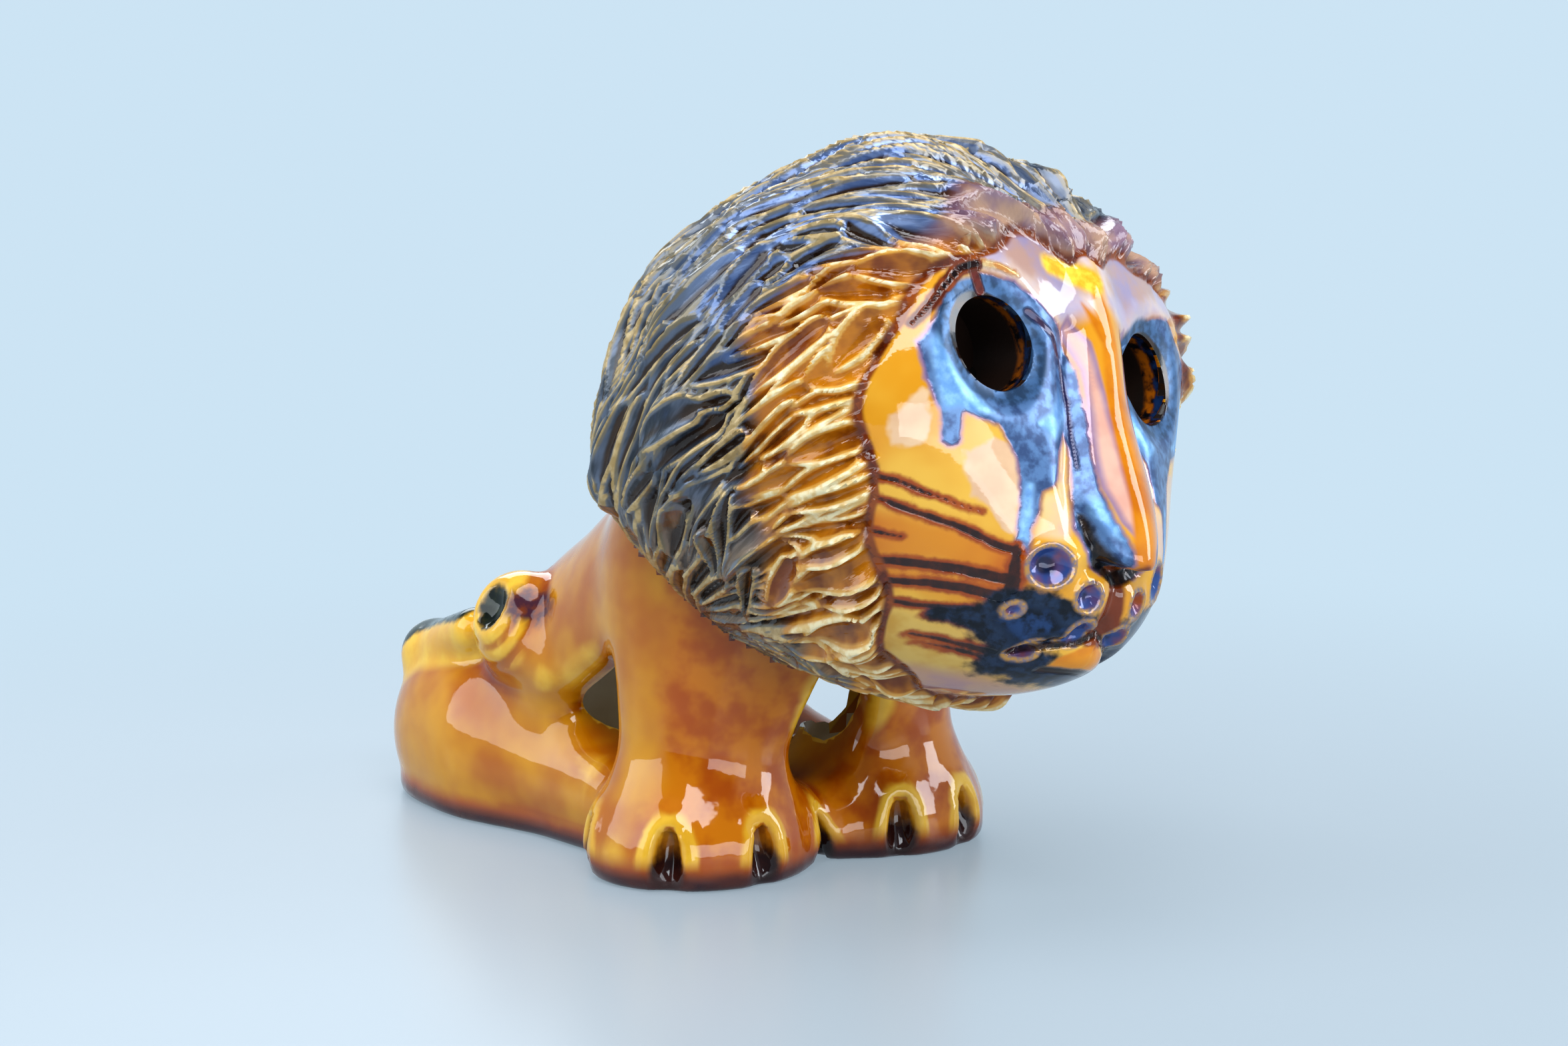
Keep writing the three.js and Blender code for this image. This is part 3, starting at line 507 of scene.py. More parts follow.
def head_shape(d):
    """Radius in mm along directions d, with what the glaze needs to know about each place."""
    r = globe(d)
    across, along = flow(d)
    behind = behind_rim(d, across)
    on_mane = smooth(-1.5, 2.5, behind)
    bare = (1 - on_mane) * smooth(-8, -25, d[..., 1] * r)
    lock, edge = lock_height(d, across, along, behind)
    stroke, burr = comb(d)
    near_edge = bump(behind - 4, 9)
    mane = MANE_SETBACK + 0.5 * lock + 0.6 * clumps(d) + 0.8 * edge + stroke * (1 + 0.35 * near_edge)
    face = face_height(d[..., 0] * r, d[..., 2] * r)
    return r + bare * face + on_mane * mane, behind, burr * on_mane, stroke * on_mane


# Meshes from shapes
def skin_of(solid, low, high, cell):
    """Points and four-cornered faces of a closed skin round the places where solid is negative."""
    axes = [np.arange(a, b, cell) for a, b in zip(low, high)]
    values = solid(np.stack(np.meshgrid(*axes, indexing="ij"), -1))
    n = values.shape
    index = np.stack(np.meshgrid(*[np.arange(m) for m in n], indexing="ij"), -1).astype(float)
    total = np.zeros([m - 1 for m in n] + [3])
    count = np.zeros([m - 1 for m in n])
    edges = []
    for axis in range(3):
        u, v = (axis + 1) % 3, (axis + 2) % 3
        first = [slice(None)] * 3
        last = [slice(None)] * 3
        first[axis] = slice(0, -1)
        last[axis] = slice(1, None)
        fa, fb = values[tuple(first)], values[tuple(last)]
        cross = (fa < 0) != (fb < 0)
        point = index[tuple(first)].copy()
        point[..., axis] += np.where(cross, fa / np.where(cross, fa - fb, 1), 0)
        for du in (0, 1):
            for dv in (0, 1):
                part = [slice(None)] * 3
                part[u] = slice(du, n[u] - 1 + du)
                part[v] = slice(dv, n[v] - 1 + dv)
                total += point[tuple(part)] * cross[tuple(part)][..., None]
                count += cross[tuple(part)]
        edges.append((cross, fa < 0))
    used = count > 0
    number = np.full(used.shape, -1)
    number[used] = np.arange(used.sum())
    points = np.array(low) + cell * total[used] / count[used][:, None]
    faces = []
    for axis, (cross, inward) in enumerate(edges):
        u, v = (axis + 1) % 3, (axis + 2) % 3
        at = np.argwhere(cross)
        ring = []
        for du, dv in ((0, 0), (1, 0), (1, 1), (0, 1)):
            c = at.copy()
            c[:, u] -= du
            c[:, v] -= dv
            ring.append(number[tuple(c.T)])
        ring = np.stack(ring, 1)
        turned = ~inward[tuple(at.T)]
        ring[turned] = ring[turned][:, ::-1]
        faces.append(ring)
    return points, np.concatenate(faces)


def settle(solid, points, rounds=4):
    """Brings points onto the surface."""
    e = 0.05
    for _ in range(rounds):
        g = np.stack([(solid(points + e * a) - solid(points - e * a)) / (2 * e) for a in np.eye(3)], -1)
        step = np.clip(solid(points) / (np.sum(g * g, -1) + 1e-6), -2, 2)
        points = points - step[:, None] * g
    return points


def even_out(solid, points, faces, rounds):
    """Moves each point towards the middle of its neighbours and back onto the surface."""
    a = faces.ravel()
    b = np.roll(faces, -1, 1).ravel()
    count = np.bincount(a, minlength=len(points))[:, None]
    for _ in range(rounds):
        middle = np.stack([np.bincount(a, points[b, m], len(points)) for m in range(3)], 1) / count
        points = settle(solid, mix(points, middle, 0.5), 2)
    return points


def unflow(across, along):
    """The direction at which flow() gives these two numbers."""
    w = np.exp(along + 1j * across)
    z = (flatten(FLOW_FROM) - w * flatten(FLOW_TO)) / (1 - w)
    m = np.abs(z) ** 2 + 1
    return np.stack([(m - 2) / m, 2 * z.real / m, 2 * z.imag / m], -1)


def rows_along_flow(step):
    """How far along the flow each row of the ball lies: about step mm apart on the right cheek."""
    rows = [FLOW_ENDS[0]]
    side = flow(unit(-1.0, -0.2, 0.0))[0]
    nudge = 1e-3
    while rows[-1] < FLOW_ENDS[1]:
        here = unflow(side, np.array([rows[-1], rows[-1] + nudge]))
        pace = np.linalg.norm(here[1] - here[0]) * MEAN_RADIUS / nudge
        closer = 1.0 if rows[-1] > FACE_ROWS_END else FACE_ROWS_CLOSER
        rows.append(rows[-1] + closer * step / pace)
    return rows


def combed_ball(around, step):
    """A ball whose lines run from the brow to the nape as the strokes do, so that ridges lie along them.

    Its rows have half as many points near both ends, and half again nearer.
    """
    points, faces, start = [], [], 0
    before = None
    halvings = 3
    for row in rows_along_flow(step):
        wanted = int(np.searchsorted(HALVINGS_BROW, -row) + np.searchsorted(HALVINGS_NAPE, row))
        halvings += (wanted > halvings) - (wanted < halvings)
        n = around >> halvings
        k = np.arange(n)
        points.append(unflow(k * 2 * math.pi / n + FIRST_LINE, np.full(n, row)))
        here = start + k
        if before is None:
            faces.append(list(here[::-1]))
        elif len(before) == n:
            faces += np.stack([before, np.roll(before, -1), np.roll(here, -1), here], 1).tolist()
        elif len(before) < n:
            a, b = here.reshape(-1, 2).T
            faces += np.stack([before, np.roll(before, -1), np.roll(a, -1), b, a], 1).tolist()
        else:
            a, b = before.reshape(-1, 2).T
            faces += np.stack([a, b, np.roll(a, -1), np.roll(here, -1), here], 1).tolist()
        before = here
        start += n
    faces.append(list(before))
    return np.concatenate(points), faces


def figure_place(head_points):
    return head_points @ HEAD_AXES + HEAD_MIDDLE


def head_place(figure_points):
    return (figure_points - HEAD_MIDDLE) @ HEAD_AXES.T


def piece(name, points, faces):
    """A mesh object in metres, standing in its place in the figure."""
    mesh = bpy.data.meshes.new(name)
    faces = [[int(point) for point in face] for face in faces]
    mesh.from_pydata(((points + PLACE) * MM).tolist(), [], faces)
    mesh.update()
    made = bpy.data.objects.new(name, mesh)
    bpy.context.scene.collection.objects.link(made)
    return made


def carve(base, tool, operation):
    """Joins tool to base or cuts it out, and takes tool away."""
    cut = base.modifiers.new("carve", "BOOLEAN")
    cut.operation = operation
    cut.solver = "MANIFOLD"
    cut.object = tool
    bpy.context.view_layer.update()
    shaped = bpy.data.meshes.new_from_object(base.evaluated_get(bpy.context.evaluated_depsgraph_get()))
    base.modifiers.clear()
    old = base.data
    base.data = shaped
    bpy.data.meshes.remove(old)
    bpy.data.objects.remove(tool)
    if len(shaped.polygons) == 0:
        raise RuntimeError("carving left nothing of " + base.name)


def tube(rings):
    """Points and faces of a closed tube through rings of points, with flat ends."""
    sides = len(rings[0])
    k = np.arange(sides)
    faces = []
    for m in range(len(rings) - 1):
        near, far = k + m * sides, k + (m + 1) * sides
        faces += [list(f) for f in np.stack([near, np.roll(near, -1), np.roll(far, -1), far], 1)]
    return np.concatenate(rings), faces + [list(k[::-1]), list(k + (len(rings) - 1) * sides)]


def drill(eye_x, eye_z, lean, sides=88):
    """A short elliptical drill through the head's wall for one eye."""
    nose = unit((eye_x - FACE_MIDDLE_X) * 0.012, -1, 0.1)
    turn = np.arange(sides) * 2 * math.pi / sides
    z = np.sin(turn) * EYE_HALF_HEIGHT
    x = np.cos(turn) * EYE_HALF_WIDTH + lean * z
    ring = np.stack([eye_x + x, np.full(sides, -46.0), eye_z + z], 1)
    points, faces = tube([ring - nose * depth for depth in np.linspace(22, -22, 30)])
    return figure_place(points), faces


def bore(sides=40):
    """The way between the two rooms, through the neck."""
    turn = np.arange(sides) * 2 * math.pi / sides
    lean = math.pi / 2 + 0.5
    c, s = math.cos(lean), math.sin(lean)
    spin = np.array([[1, 0, 0], [0, c, s], [0, -s, c]])
    rings = []
    for h in np.linspace(-22, 22, 12):
        r = mix(13, 15, (h + 22) / 44)
        ring = np.stack([r * np.sin(turn), np.full(sides, h), r * np.cos(turn)], 1)
        rings.append(ring @ spin + (BODY_MIDDLE_X, 12, 58))
    return tube(rings)


def read(rows, name, width=1, kind=float):
    """One property of all the points, edges, corners or faces of a mesh, as an array."""
    values = np.zeros(len(rows) * width, kind)
    rows.foreach_get(name, values)
    return values.reshape(-1, width) if width > 1 else values


def face_outwards(made):
    """Turns a closed mesh's faces outwards if they all face in."""
    mesh = made.data
    mesh.calc_loop_triangles()
    corners = read(mesh.loop_triangles, "vertices", 3, int)
    a, b, c = np.moveaxis(read(mesh.vertices, "co", 3)[corners], 1, 0)
    if np.sum(a * np.cross(b, c)) < 0:
        mesh.flip_normals()
    return made


# The spaces that hold the body and the room in it, and how finely their skins are cut, in mm
BODY_SPACE = ((-62, -24, -6), (64, 138, 96))
BODY_CELL = 1.55
ROOM_SPACE = ((-60, -20, -14), (62, 136, 70))
ROOM_CELL = 4.0
# How many lines run round the head and its hollow, and how far apart their rows are, in mm
HEAD_LINES = 576
HEAD_STEP = 1.0
HOLLOW_LINES = 64
HOLLOW_STEP = 8.0


def cast_lion():
    """The whole lion as one closed shell: body and head joined, then hollowed, bored and drilled."""
    points, faces = skin_of(body, *BODY_SPACE, BODY_CELL)
    points = even_out(body, settle(body, points), faces, 2)
    lion = face_outwards(piece("lion_glazed", points, faces))
    d, faces = combed_ball(HEAD_LINES, HEAD_STEP)
    radius = head_shape(d)[0]
    tools = [("head", figure_place(d * radius[:, None]), faces, "UNION")]
    points, faces = skin_of(body_room, *ROOM_SPACE, ROOM_CELL)
    tools.append(("room", settle(body_room, points, 3), faces, "DIFFERENCE"))
    d, faces = combed_ball(HOLLOW_LINES, HOLLOW_STEP)
    tools.append(("hollow", figure_place(d * (globe(d) - HEAD_WALL)[:, None]), faces, "DIFFERENCE"))
    tools.append(("bore", *bore(), "DIFFERENCE"))
    tools += [("eye", *drill(*eye), "DIFFERENCE") for eye in EYES]
    for name, points, faces, operation in tools:
        carve(lion, face_outwards(piece(name, points, faces)), operation)
    return lion


lion = cast_lion()


# What the glazes read from the clay
def keep_inside(made, low, high):
    """Presses what stands proud of the solid's box back to its faces."""
    mesh = made.data
    points = np.clip(read(mesh.vertices, "co", 3), low, high)
    mesh.vertices.foreach_set("co", points.ravel())
    mesh.update()


def hollows(mesh, points, rounds):
    """How deep each point lies in a hollow, in mm: above 0 in grooves, below 0 on ridges."""
    a, b = read(mesh.edges, "vertices", 2, int).T
    ends, other = np.concatenate([a, b]), np.concatenate([b, a])
    count = np.maximum(np.bincount(ends, minlength=len(points)), 1)[:, None]
    soft = points.copy()
    for _ in range(rounds):
        soft = np.stack([np.bincount(ends, soft[other, m], len(points)) for m in range(3)], 1) / count
    return np.sum((soft - points) * read(mesh.vertices, "normal", 3), 1)


# Marks on the face, in its own plane (x to the lion's left, z up, mm), drawn for the right side.
# An outline is an area; a line has a half width at its start and at its end.
OUTLINES = {
    # where the crown of the face turns rosy, greyed to lilac by a painted reflection of the room
    "brow": [
        ((-34, 40), (-34, 24), (-25.4, 24), (-18.7, 23.3), (-12, 20), (-6.8, 16.5), (-4.2, 18),
         (3, 23), (3, 40)),
    ],
    # blue lustre in the socket, down the nose groove and in two runs over the cheek
    "steel": [
        ((-25.4, 24), (-18.7, 23.6), (-12.1, 20.3), (-6.8, 16.5), (-4.2, 10), (-4, 2.6), (-5, -4.9),
         (-5, -10.7), (-3.3, -16.5), (-0.6, -20.8), (0.4, -24.6), (-1.6, -25.8), (-4.9, -23.9),
         (-7.7, -18.4), (-8.1, -12.6), (-7.2, -4.5), (-8, -1.5), (-10.5, -5), (-11.8, -11.3),
         (-13.2, -11.8), (-15, -13), (-15.4, -16.5), (-16.4, -20), (-16.2, -24.5), (-18, -24.5),
         (-18.3, -14), (-19.3, -7.7), (-21.5, -4.5), (-23.1, -2.3), (-27.7, -1.6), (-30.5, -0.8),
         (-30.4, -6.6), (-31.4, -7.6), (-33, -7), (-33.8, -2), (-35.2, 0.7), (-36.5, 3.4), (-38, 9.6),
         (-36.5, 12), (-33.9, 16.6), (-27.5, 21)),
    ],
    # painted highlights: pale blue patches on the blue lustre
    "bright": [
        ((-36.4, 10), (-34, 13), (-31, 8), (-28.5, 3), (-24, -0.4), (-28, -1), (-31, -0.4),
         (-33.4, -1.4), (-35.4, 4)),
        ((-6.2, -13), (-5, -13), (-2.6, -17.6), (-1.6, -19.6), (-4, -18.6), (-5.8, -16)),
        ((-14.5, -1), (-11, 1), (-8, 6), (-7, 2), (-8.5, -1), (-11, -3)),
        ((-17.8, -12), (-16.6, -12), (-16.6, -22), (-17.8, -22)),
    ],
    # the nose's flank, painted pinkish peach with a lilac edge as a reflection
    "flank": [
        ((-5.5, 20), (-1.5, 15.6), (0.2, 6.4), (0.6, 0), (0.8, -9), (1.9, -15.8), (2, -20.5),
         (-2, -16.5), (-4.5, -10.7), (-4.5, -4.9), (-3.5, 2.6), (-3.7, 10), (-6.3, 17)),
    ],
    # pale peach patches on the cheek beside the runs: painted reflections
    "pale": [
        ((-29.4, -8), (-24, -4.6), (-20.5, -5), (-19, -10), (-18.8, -21.5), (-21, -21), (-23.5, -17.5),
         (-26.6, -16), (-28.2, -12.5)),
        ((-37.2, 1), (-35, -3.5), (-36.4, -8), (-40, -9), (-41.6, -4)),
    ],
    "rosy": [
        ((-15.2, -13), (-12.5, -12.4), (-11.2, -10), (-10, -4.5), (-8, -2), (-8.6, -13), (-8.2, -19),
         (-9.5, -21.6), (-15.7, -21.6)),
    ],
    "stain": [
        ((-44, -19.5), (-33, -20.5), (-25, -21.5), (-17.5, -24.2), (-16.5, -30), (-28, -29.2),
         (-38, -30), (-42, -24)),
        ((-37, -29.6), (-17, -29.4), (-15, -35), (-24, -32.6), (-36, -33.6)),
    ],
    "ochre": [((-37, -37.5), (-26, -36.4), (-17, -38), (-8, -46), (-6, -60), (-40, -60))],
    "muzzle": [
        ((-18.2, -31.9), (-16, -31.5), (-13, -30.4), (-7.9, -31.6), (-5.5, -33.5), (-1.2, -33.6),
         (0.8, -35.4), (-1, -38.6), (-7.4, -41.2), (-3.3, -42), (-3.3, -44.3), (4.1, -43.9),
         (3, -47.5), (-3.9, -48.2), (-6.1, -46.7), (-9.1, -47.2), (-12, -45.3), (-12.6, -42.4),
         (-18.8, -38.8), (-23.1, -38), (-24.1, -36.9), (-19, -35)),
    ],
    "lip": [((-3.3, -44.2), (-2.9, -42.2), (0, -40), (3, -38.9), (3, -43.9))],
    # the chin: tan glaze, with a pinkish reflection painted in
    "chin": [((-30, -47), (-10, -47.6), (3, -48.6), (3, -64), (-30, -64))],
}
LINES = {
    "crease": [(((-15, 19), (-9.3, 15.3), (-6.5, 9.6), (-5.9, 3.7), (-6.6, -2.3), (-7, -8)), 0.5, 0.0)],
    "nostril": [(((-6.9, -16.5), (-5.6, -20.5), (-2.4, -24.6), (2.6, -26.6)), 0.5, 1.2)],
    "philtrum": [(((3, -25), (3, -31), (3, -36.5)), 1.5, 3.6)],
    "line": [
        (((-44.7, -14.5), (-37.8, -15.1), (-33.8, -16.4), (-27.8, -17.7), (-24.2, -18.4)), 0.5, 0.1),
        (((-40.8, -18.3), (-38, -18.9), (-34.8, -19.9), (-29.8, -20.9), (-25.9, -21.8), (-20.9, -23.7),
          (-17.6, -24.3)), 0.35, 0.7),
        (((-41.1, -24), (-36.8, -24.6), (-33.8, -24.8)), 0.35, 0.25),
        (((-38.5, -30.3), (-32.5, -29.2), (-28.1, -29), (-23.8, -29), (-19.3, -29.4), (-16.7, -29.6)),
          0.6, 1.0),
        (((-35.7, -33.6), (-30.5, -32.7), (-26.6, -32.2), (-22.5, -32.1), (-17, -32.8)), 0.5, 0.9),
        (((-35.9, -37.3), (-33, -37.1), (-28.6, -36.3), (-25.9, -36.5), (-20, -35.6)), 0.25, 0.5),
        (((-23.3, -37.4), (-20.5, -37.4), (-17.4, -37.9), (-15, -38.2)), 0.7, 1.0),
        (((-22.5, -41.7), (-19.1, -41.9), (-14.7, -42.5), (-12, -43)), 0.2, 0.6),
        (((-20.5, -43), (-17, -43.2), (-12, -44)), 0.1, 0.4),
        (((-18, -23.5), (-17.2, -28), (-16.5, -31)), 0.5, 1.1),
    ],
    "mouth": [
        (((3, -36.8), (-0.6, -39), (-7.4, -41.2), (-9.2, -42.4)), 0.5, 0.35),
        (((3, -44.3), (-3.4, -44.7)), 0.4, 0.5),
    ],
}
# the dark stroke along the top of the tail, as back and up
TAIL_TOP = ((118, 30), (111, 37), (98, 41.5), (86, 44.5))
# these have no twin on the left side
ONE_SIDED = {
    "crest": [
        (((1.2, 25), (2.2, 18), (2.6, 10), (2.9, 2), (3.2, -7), (3.8, -14), (4.2, -23)), 1.4, 4.6),
        (((4.6, 10), (5.4, 2), (6.2, -7), (7.6, -14), (8.2, -20)), 1.0, 2.6),
        (((-2.5, 22.5), (1.6, 17)), 0.4, 1.9),
    ],
    "yellow": [(((-8.6, 28.4), (-3.5, 27.6), (1.5, 27.2)), 1.2, 1.6)],
    "brow_edge": [(((-25.4, 26), (-21.5, 26), (-17.6, 25.2)), 0.9, 0.5)],
    "crack": [
        (((-19.5, 36.5), (-19.8, 34.2), (-23.6, 33), (-24.8, 30.3), (-26.4, 27.5), (-27, 24),
          (-25.2, 21)), 0.35, 0.9),
    ],
    # painted shade: a dark line in the deep gap under the mane's front edge beside the right eye
    "crevice": [(((-26.4, 25.6), (-29.9, 24.1), (-33.6, 19.9), (-36.4, 16), (-39, 12.6)), 0.6, 0.0)],
}


def outline_distance(x, z, outline):
    """Distance to an outline: below 0 inside it."""
    inside = np.zeros(np.shape(x), bool)
    for (ax, az), (bx, bz) in zip(outline, outline[1:] + outline[:1]):
        if az != bz:
            inside ^= ((az > z) != (bz > z)) & (x < (bx - ax) * (z - az) / (bz - az) + ax)
    edge = path_distance(x, z, outline + outline[:1])
    return np.where(inside, -edge, edge)


# a distance in mm, and an angle in degrees, that no glaze layer reaches
FAR_OFF = 40.0
NO_ANGLE = 90.0
# the face, the eyes and their walls lie in front of this, in the head's own place
FACE_BACK_Y = -12.0
# how near the shape's own surface a point counts as lying on it, in mm
ON_SKIN = 0.35


def body_marks(p):
    x, y, z = p.T
    claw = claws(x, y, z)
    reach = from_dimple(x, y, z)
    tail = tail_bars(x, y, z)
    off_tail = np.minimum(tail, tuft_pad(x, y, z))
    ridges = np.min([np.abs(reach - ridge) - 1.2 for ridge in TUFT_RIDGES], axis=0)
    stroke = np.where(y > 66, path_distance(y, z, TAIL_TOP, 1.2, 2.4), FAR_OFF)
    return {
        "height": z,
        # how far back each point lies: the fronts of the legs and paws, nearest the front, are painted a
        # deeper orange as shade
        "back": y,
        "claw": claw,
        "claw_arch": claw + 0.5 * np.maximum(6.0 - z, 0),
        "claw_tip": claw + 0.32 * np.maximum(z - 4.8, 0),
        "dimple": reach,
        "fold": np.maximum(ridges, 0.5 * (z - 46)),
        "bruise": np.linalg.norm((p - (-33.0, 58.0, 49.0)) / (1, 1.2, 0.8), axis=1) - 5.5,
        "tail": np.where(y > 78, tail, FAR_OFF),
        "tail_top": stroke + 3 * np.maximum(off_tail - 1.2, 0),
    }


def mane_marks(q, d, on_head, behind, burr, relief):
    x, _, z = q.T
    turn = np.abs(np.degrees(np.arctan2(x, z)))
    # the band of bare-edged amber locks along the mane's front, in degrees from the front edge
    band = 9 + 17 * smooth(48, 85, turn) - 12 * smooth(140, 170, turn)
    band = np.where(x > 0, 0.75 * band, band)
    ridge = np.where(on_head, burr + 0.3 * np.clip(relief, -1.5, 1), 0.0)
    warm = np.where(on_head & (behind > -3), behind - band, NO_ANGLE)
    return {
        "behind": np.where(on_head, behind, -NO_ANGLE),
        "ridge": ridge,
        "warm": warm,
        "warm_ridge": ridge * smooth(4, -4, warm),
        # how far round, in degrees, from the side of the mane that faces the windows, for a painted sheen
        "blue": np.degrees(np.arccos(np.clip(d @ unit(-0.7, -0.35, 0.62), -1, 1))),
        "high": z,
        # the mane's front edge high over the brow, where its glaze is tinted lilac-grey by a painted
        # reflection of the room
        "crown": np.maximum(behind - 11, 0.5 * (30 - z)),
    }


def face_marks(x, z, on_face):
    """Distances to what is painted on the face; most of it has a twin on the left side."""
    both = (x, 2 * FACE_MIDDLE_X - x)
    found = {name: [outline_distance(side, z, outline) for outline in outlines for side in both]
             for name, outlines in OUTLINES.items()}
    for name, lines in LINES.items():
        found[name] = [path_distance(side, z, *line) for line in lines for side in both]
    for name, lines in ONE_SIDED.items():
        found[name] = [path_distance(x, z, *line) for line in lines]
    found["ring"] = [np.hypot(x - FACE_MIDDLE_X - rx, z - rz) - r for rx, rz, r in RINGS]
    return {name: np.where(on_face, np.min(near, axis=0), FAR_OFF) for name, near in found.items()}


def write_marks(made):
    """Stores at each point what the glazes use: mostly distances in mm, below 0 inside a mark."""
    mesh = made.data
    co = read(mesh.vertices, "co", 3) / MM
    p = co - PLACE
    q = head_place(p)
    far = np.linalg.norm(q, axis=1)
    d = q / far[:, None]
    radius, behind, burr, relief = head_shape(d)
    on_head = (np.abs(far - radius) < ON_SKIN) & (body(p) > -0.2)
    outside = (body(p) > -ON_SKIN) & (far > radius - 1.0)
    x, y, z = q.T
    front = y < FACE_BACK_Y
    eyes = [np.hypot((x - ex - lean * (z - ez)) / EYE_HALF_WIDTH, (z - ez) / EYE_HALF_HEIGHT)
            for ex, ez, lean in EYES]
    marks = {
        "on_head": on_head.astype(float),
        "inside": 1.0 - np.maximum(outside, on_head),
        "hollow": hollows(mesh, co, 6),
        "eye": np.where(front, (np.minimum(*eyes) - 1) * 9.0, FAR_OFF),
        "eye_wall": np.where(front & ~on_head, radius - far, FAR_OFF),
        **body_marks(p),
        **mane_marks(q, d, on_head, behind, burr, relief),
        **face_marks(x, z, on_head & front),
    }
    for name, values in marks.items():
        made_mark = mesh.attributes.new(name, "FLOAT", "POINT")
        made_mark.data.foreach_set("value", values.astype(np.float32))
    # where each point lies along and across the strokes, for the streaks
    across, along = flow(d)
    lie = np.stack([np.cos(across), np.sin(across), 0.14 * along], 1).astype(np.float32)
    mesh.attributes.new("lie", "FLOAT_VECTOR", "POINT").data.foreach_set("vector", lie.ravel())
    return marks


# Glazes
def linear(code):
    """An sRGB hex colour as linear light."""
    c = [int(code[i:i + 2], 16) / 255 for i in (1, 3, 5)]
    return [v / 12.92 if v <= 0.04045 else ((v + 0.055) / 1.055) ** 2.4 for v in c] + [1.0]


def empty_tree(shaded):
    """The node tree of a material or a world, with nothing in it yet."""
    shaded.use_nodes = True
    shaded.node_tree.nodes.clear()
    return shaded.node_tree


def add(tree, kind, settings, links):
    """One shader node: its settings by name, then for each input a value or the socket that feeds it."""
    made = tree.nodes.new("ShaderNode" + kind)
    for name, value in settings.items():
        setattr(made, name, value)
    for name, value in links.items():
        if isinstance(value, bpy.types.NodeSocket):
            tree.links.new(value, made.inputs[name])
        else:
            made.inputs[name].default_value = value
    return made


# How wide the glaze's patches are, in mm: a noise pattern's scale is the count of them in a metre, and
# that of the streaks the count in a radian round the head.
# Pools, clouds and torn edges have their real size; the specks, really 0.2 mm, are drawn coarser to show.
GRAINS = {"pool": 26.0, "cloud": 8.0, "torn": 2.2, "speck": 0.8, "streak": 1.6}
# A layer's two colours change over between these values of its noise.
MOTTLE = (0.36, 0.64)
# A fired lead-type glaze is a heavy glass.
GLAZE_IOR = 1.6
SOFT_STEP = {"interpolation_type": "SMOOTHSTEP"}
TIMES_PLUS = {"operation": "MULTIPLY_ADD"}


def glaze(name, layers, waves):
    """A fired glaze, built up from the ground colour in layers.

    Each layer is: the mark it follows; the mark's values where it has gone and where it is full; how
    far its edge is torn (in the mark's units) and by which grain; its two colours and the grain that
    mixes them; how metallic and how rough it is; how far it stands up, in mm. waves is the glaze's own
    unevenness.
    """
    made = bpy.data.materials.new(name)
    tree = empty_tree(made)
    place = add(tree, "TexCoord", {}, {}).outputs["Object"]
    lie = add(tree, "Attribute", {"attribute_name": "lie"}, {}).outputs["Vector"]
    grains = {}
    for grain, width in GRAINS.items():
        if grain == "streak":
            links = {"Vector": lie, "Scale": MEAN_RADIUS / width, "Detail": 3.0}
        else:
            links = {"Vector": place, "Scale": 1000 / width, "Detail": 3.0}
        grains[grain] = add(tree, "TexNoise", {}, links).outputs["Fac"]
    colour = metallic = rough = lift = None
    reads = {}
    for mark, gone, full, torn, edge, first, second, mottle, metal, gloss, raised in layers:
        share = add(tree, "MapRange", SOFT_STEP, {
            "Value": grains[mottle], "From Min": MOTTLE[0], "From Max": MOTTLE[1]}).outputs["Result"]
        tone = add(tree, "MixRGB", {}, {
            "Fac": share, "Color1": linear(first), "Color2": linear(second)}).outputs["Color"]
        if mark is None:
            colour, metallic, rough, lift = tone, metal, gloss, 0.0
            continue
        if mark not in reads:
            reads[mark] = add(tree, "Attribute", {"attribute_name": mark}, {}).outputs["Fac"]
        wavering = add(tree, "Math", TIMES_PLUS, {
            0: grains[edge], 1: torn, 2: reads[mark]}).outputs["Value"]
        cover = add(tree, "MapRange", SOFT_STEP, {
            "Value": wavering, "From Min": gone + torn / 2, "From Max": full + torn / 2}).outputs["Result"]
        colour = add(tree, "MixRGB", {}, {
            "Fac": cover, "Color1": colour, "Color2": tone}).outputs["Color"]
        # sockets 2 and 3 of a Mix node are its two numbers
        metallic, rough = (
            add(tree, "Mix", {"data_type": "FLOAT"}, {"Factor": cover, 2: under, 3: over}).outputs[0]
            for under, over in ((metallic, metal), (rough, gloss)))
        if raised:
            lift = add(tree, "Math", TIMES_PLUS, {0: cover, 1: raised, 2: lift}).outputs["Value"]
    for grain, height in waves:
        lift = add(tree, "Math", TIMES_PLUS, {0: grains[grain], 1: height, 2: lift}).outputs["Value"]
    bumped = add(tree, "Bump", {}, {"Strength": 1.0, "Distance": MM, "Height": lift}).outputs["Normal"]
    skin = add(tree, "BsdfPrincipled", {}, {
        "Base Color": colour, "Metallic": metallic, "Roughness": rough, "Normal": bumped,
        "IOR": GLAZE_IOR})
    add(tree, "OutputMaterial", {}, {"Surface": skin.outputs["BSDF"]})
    return made


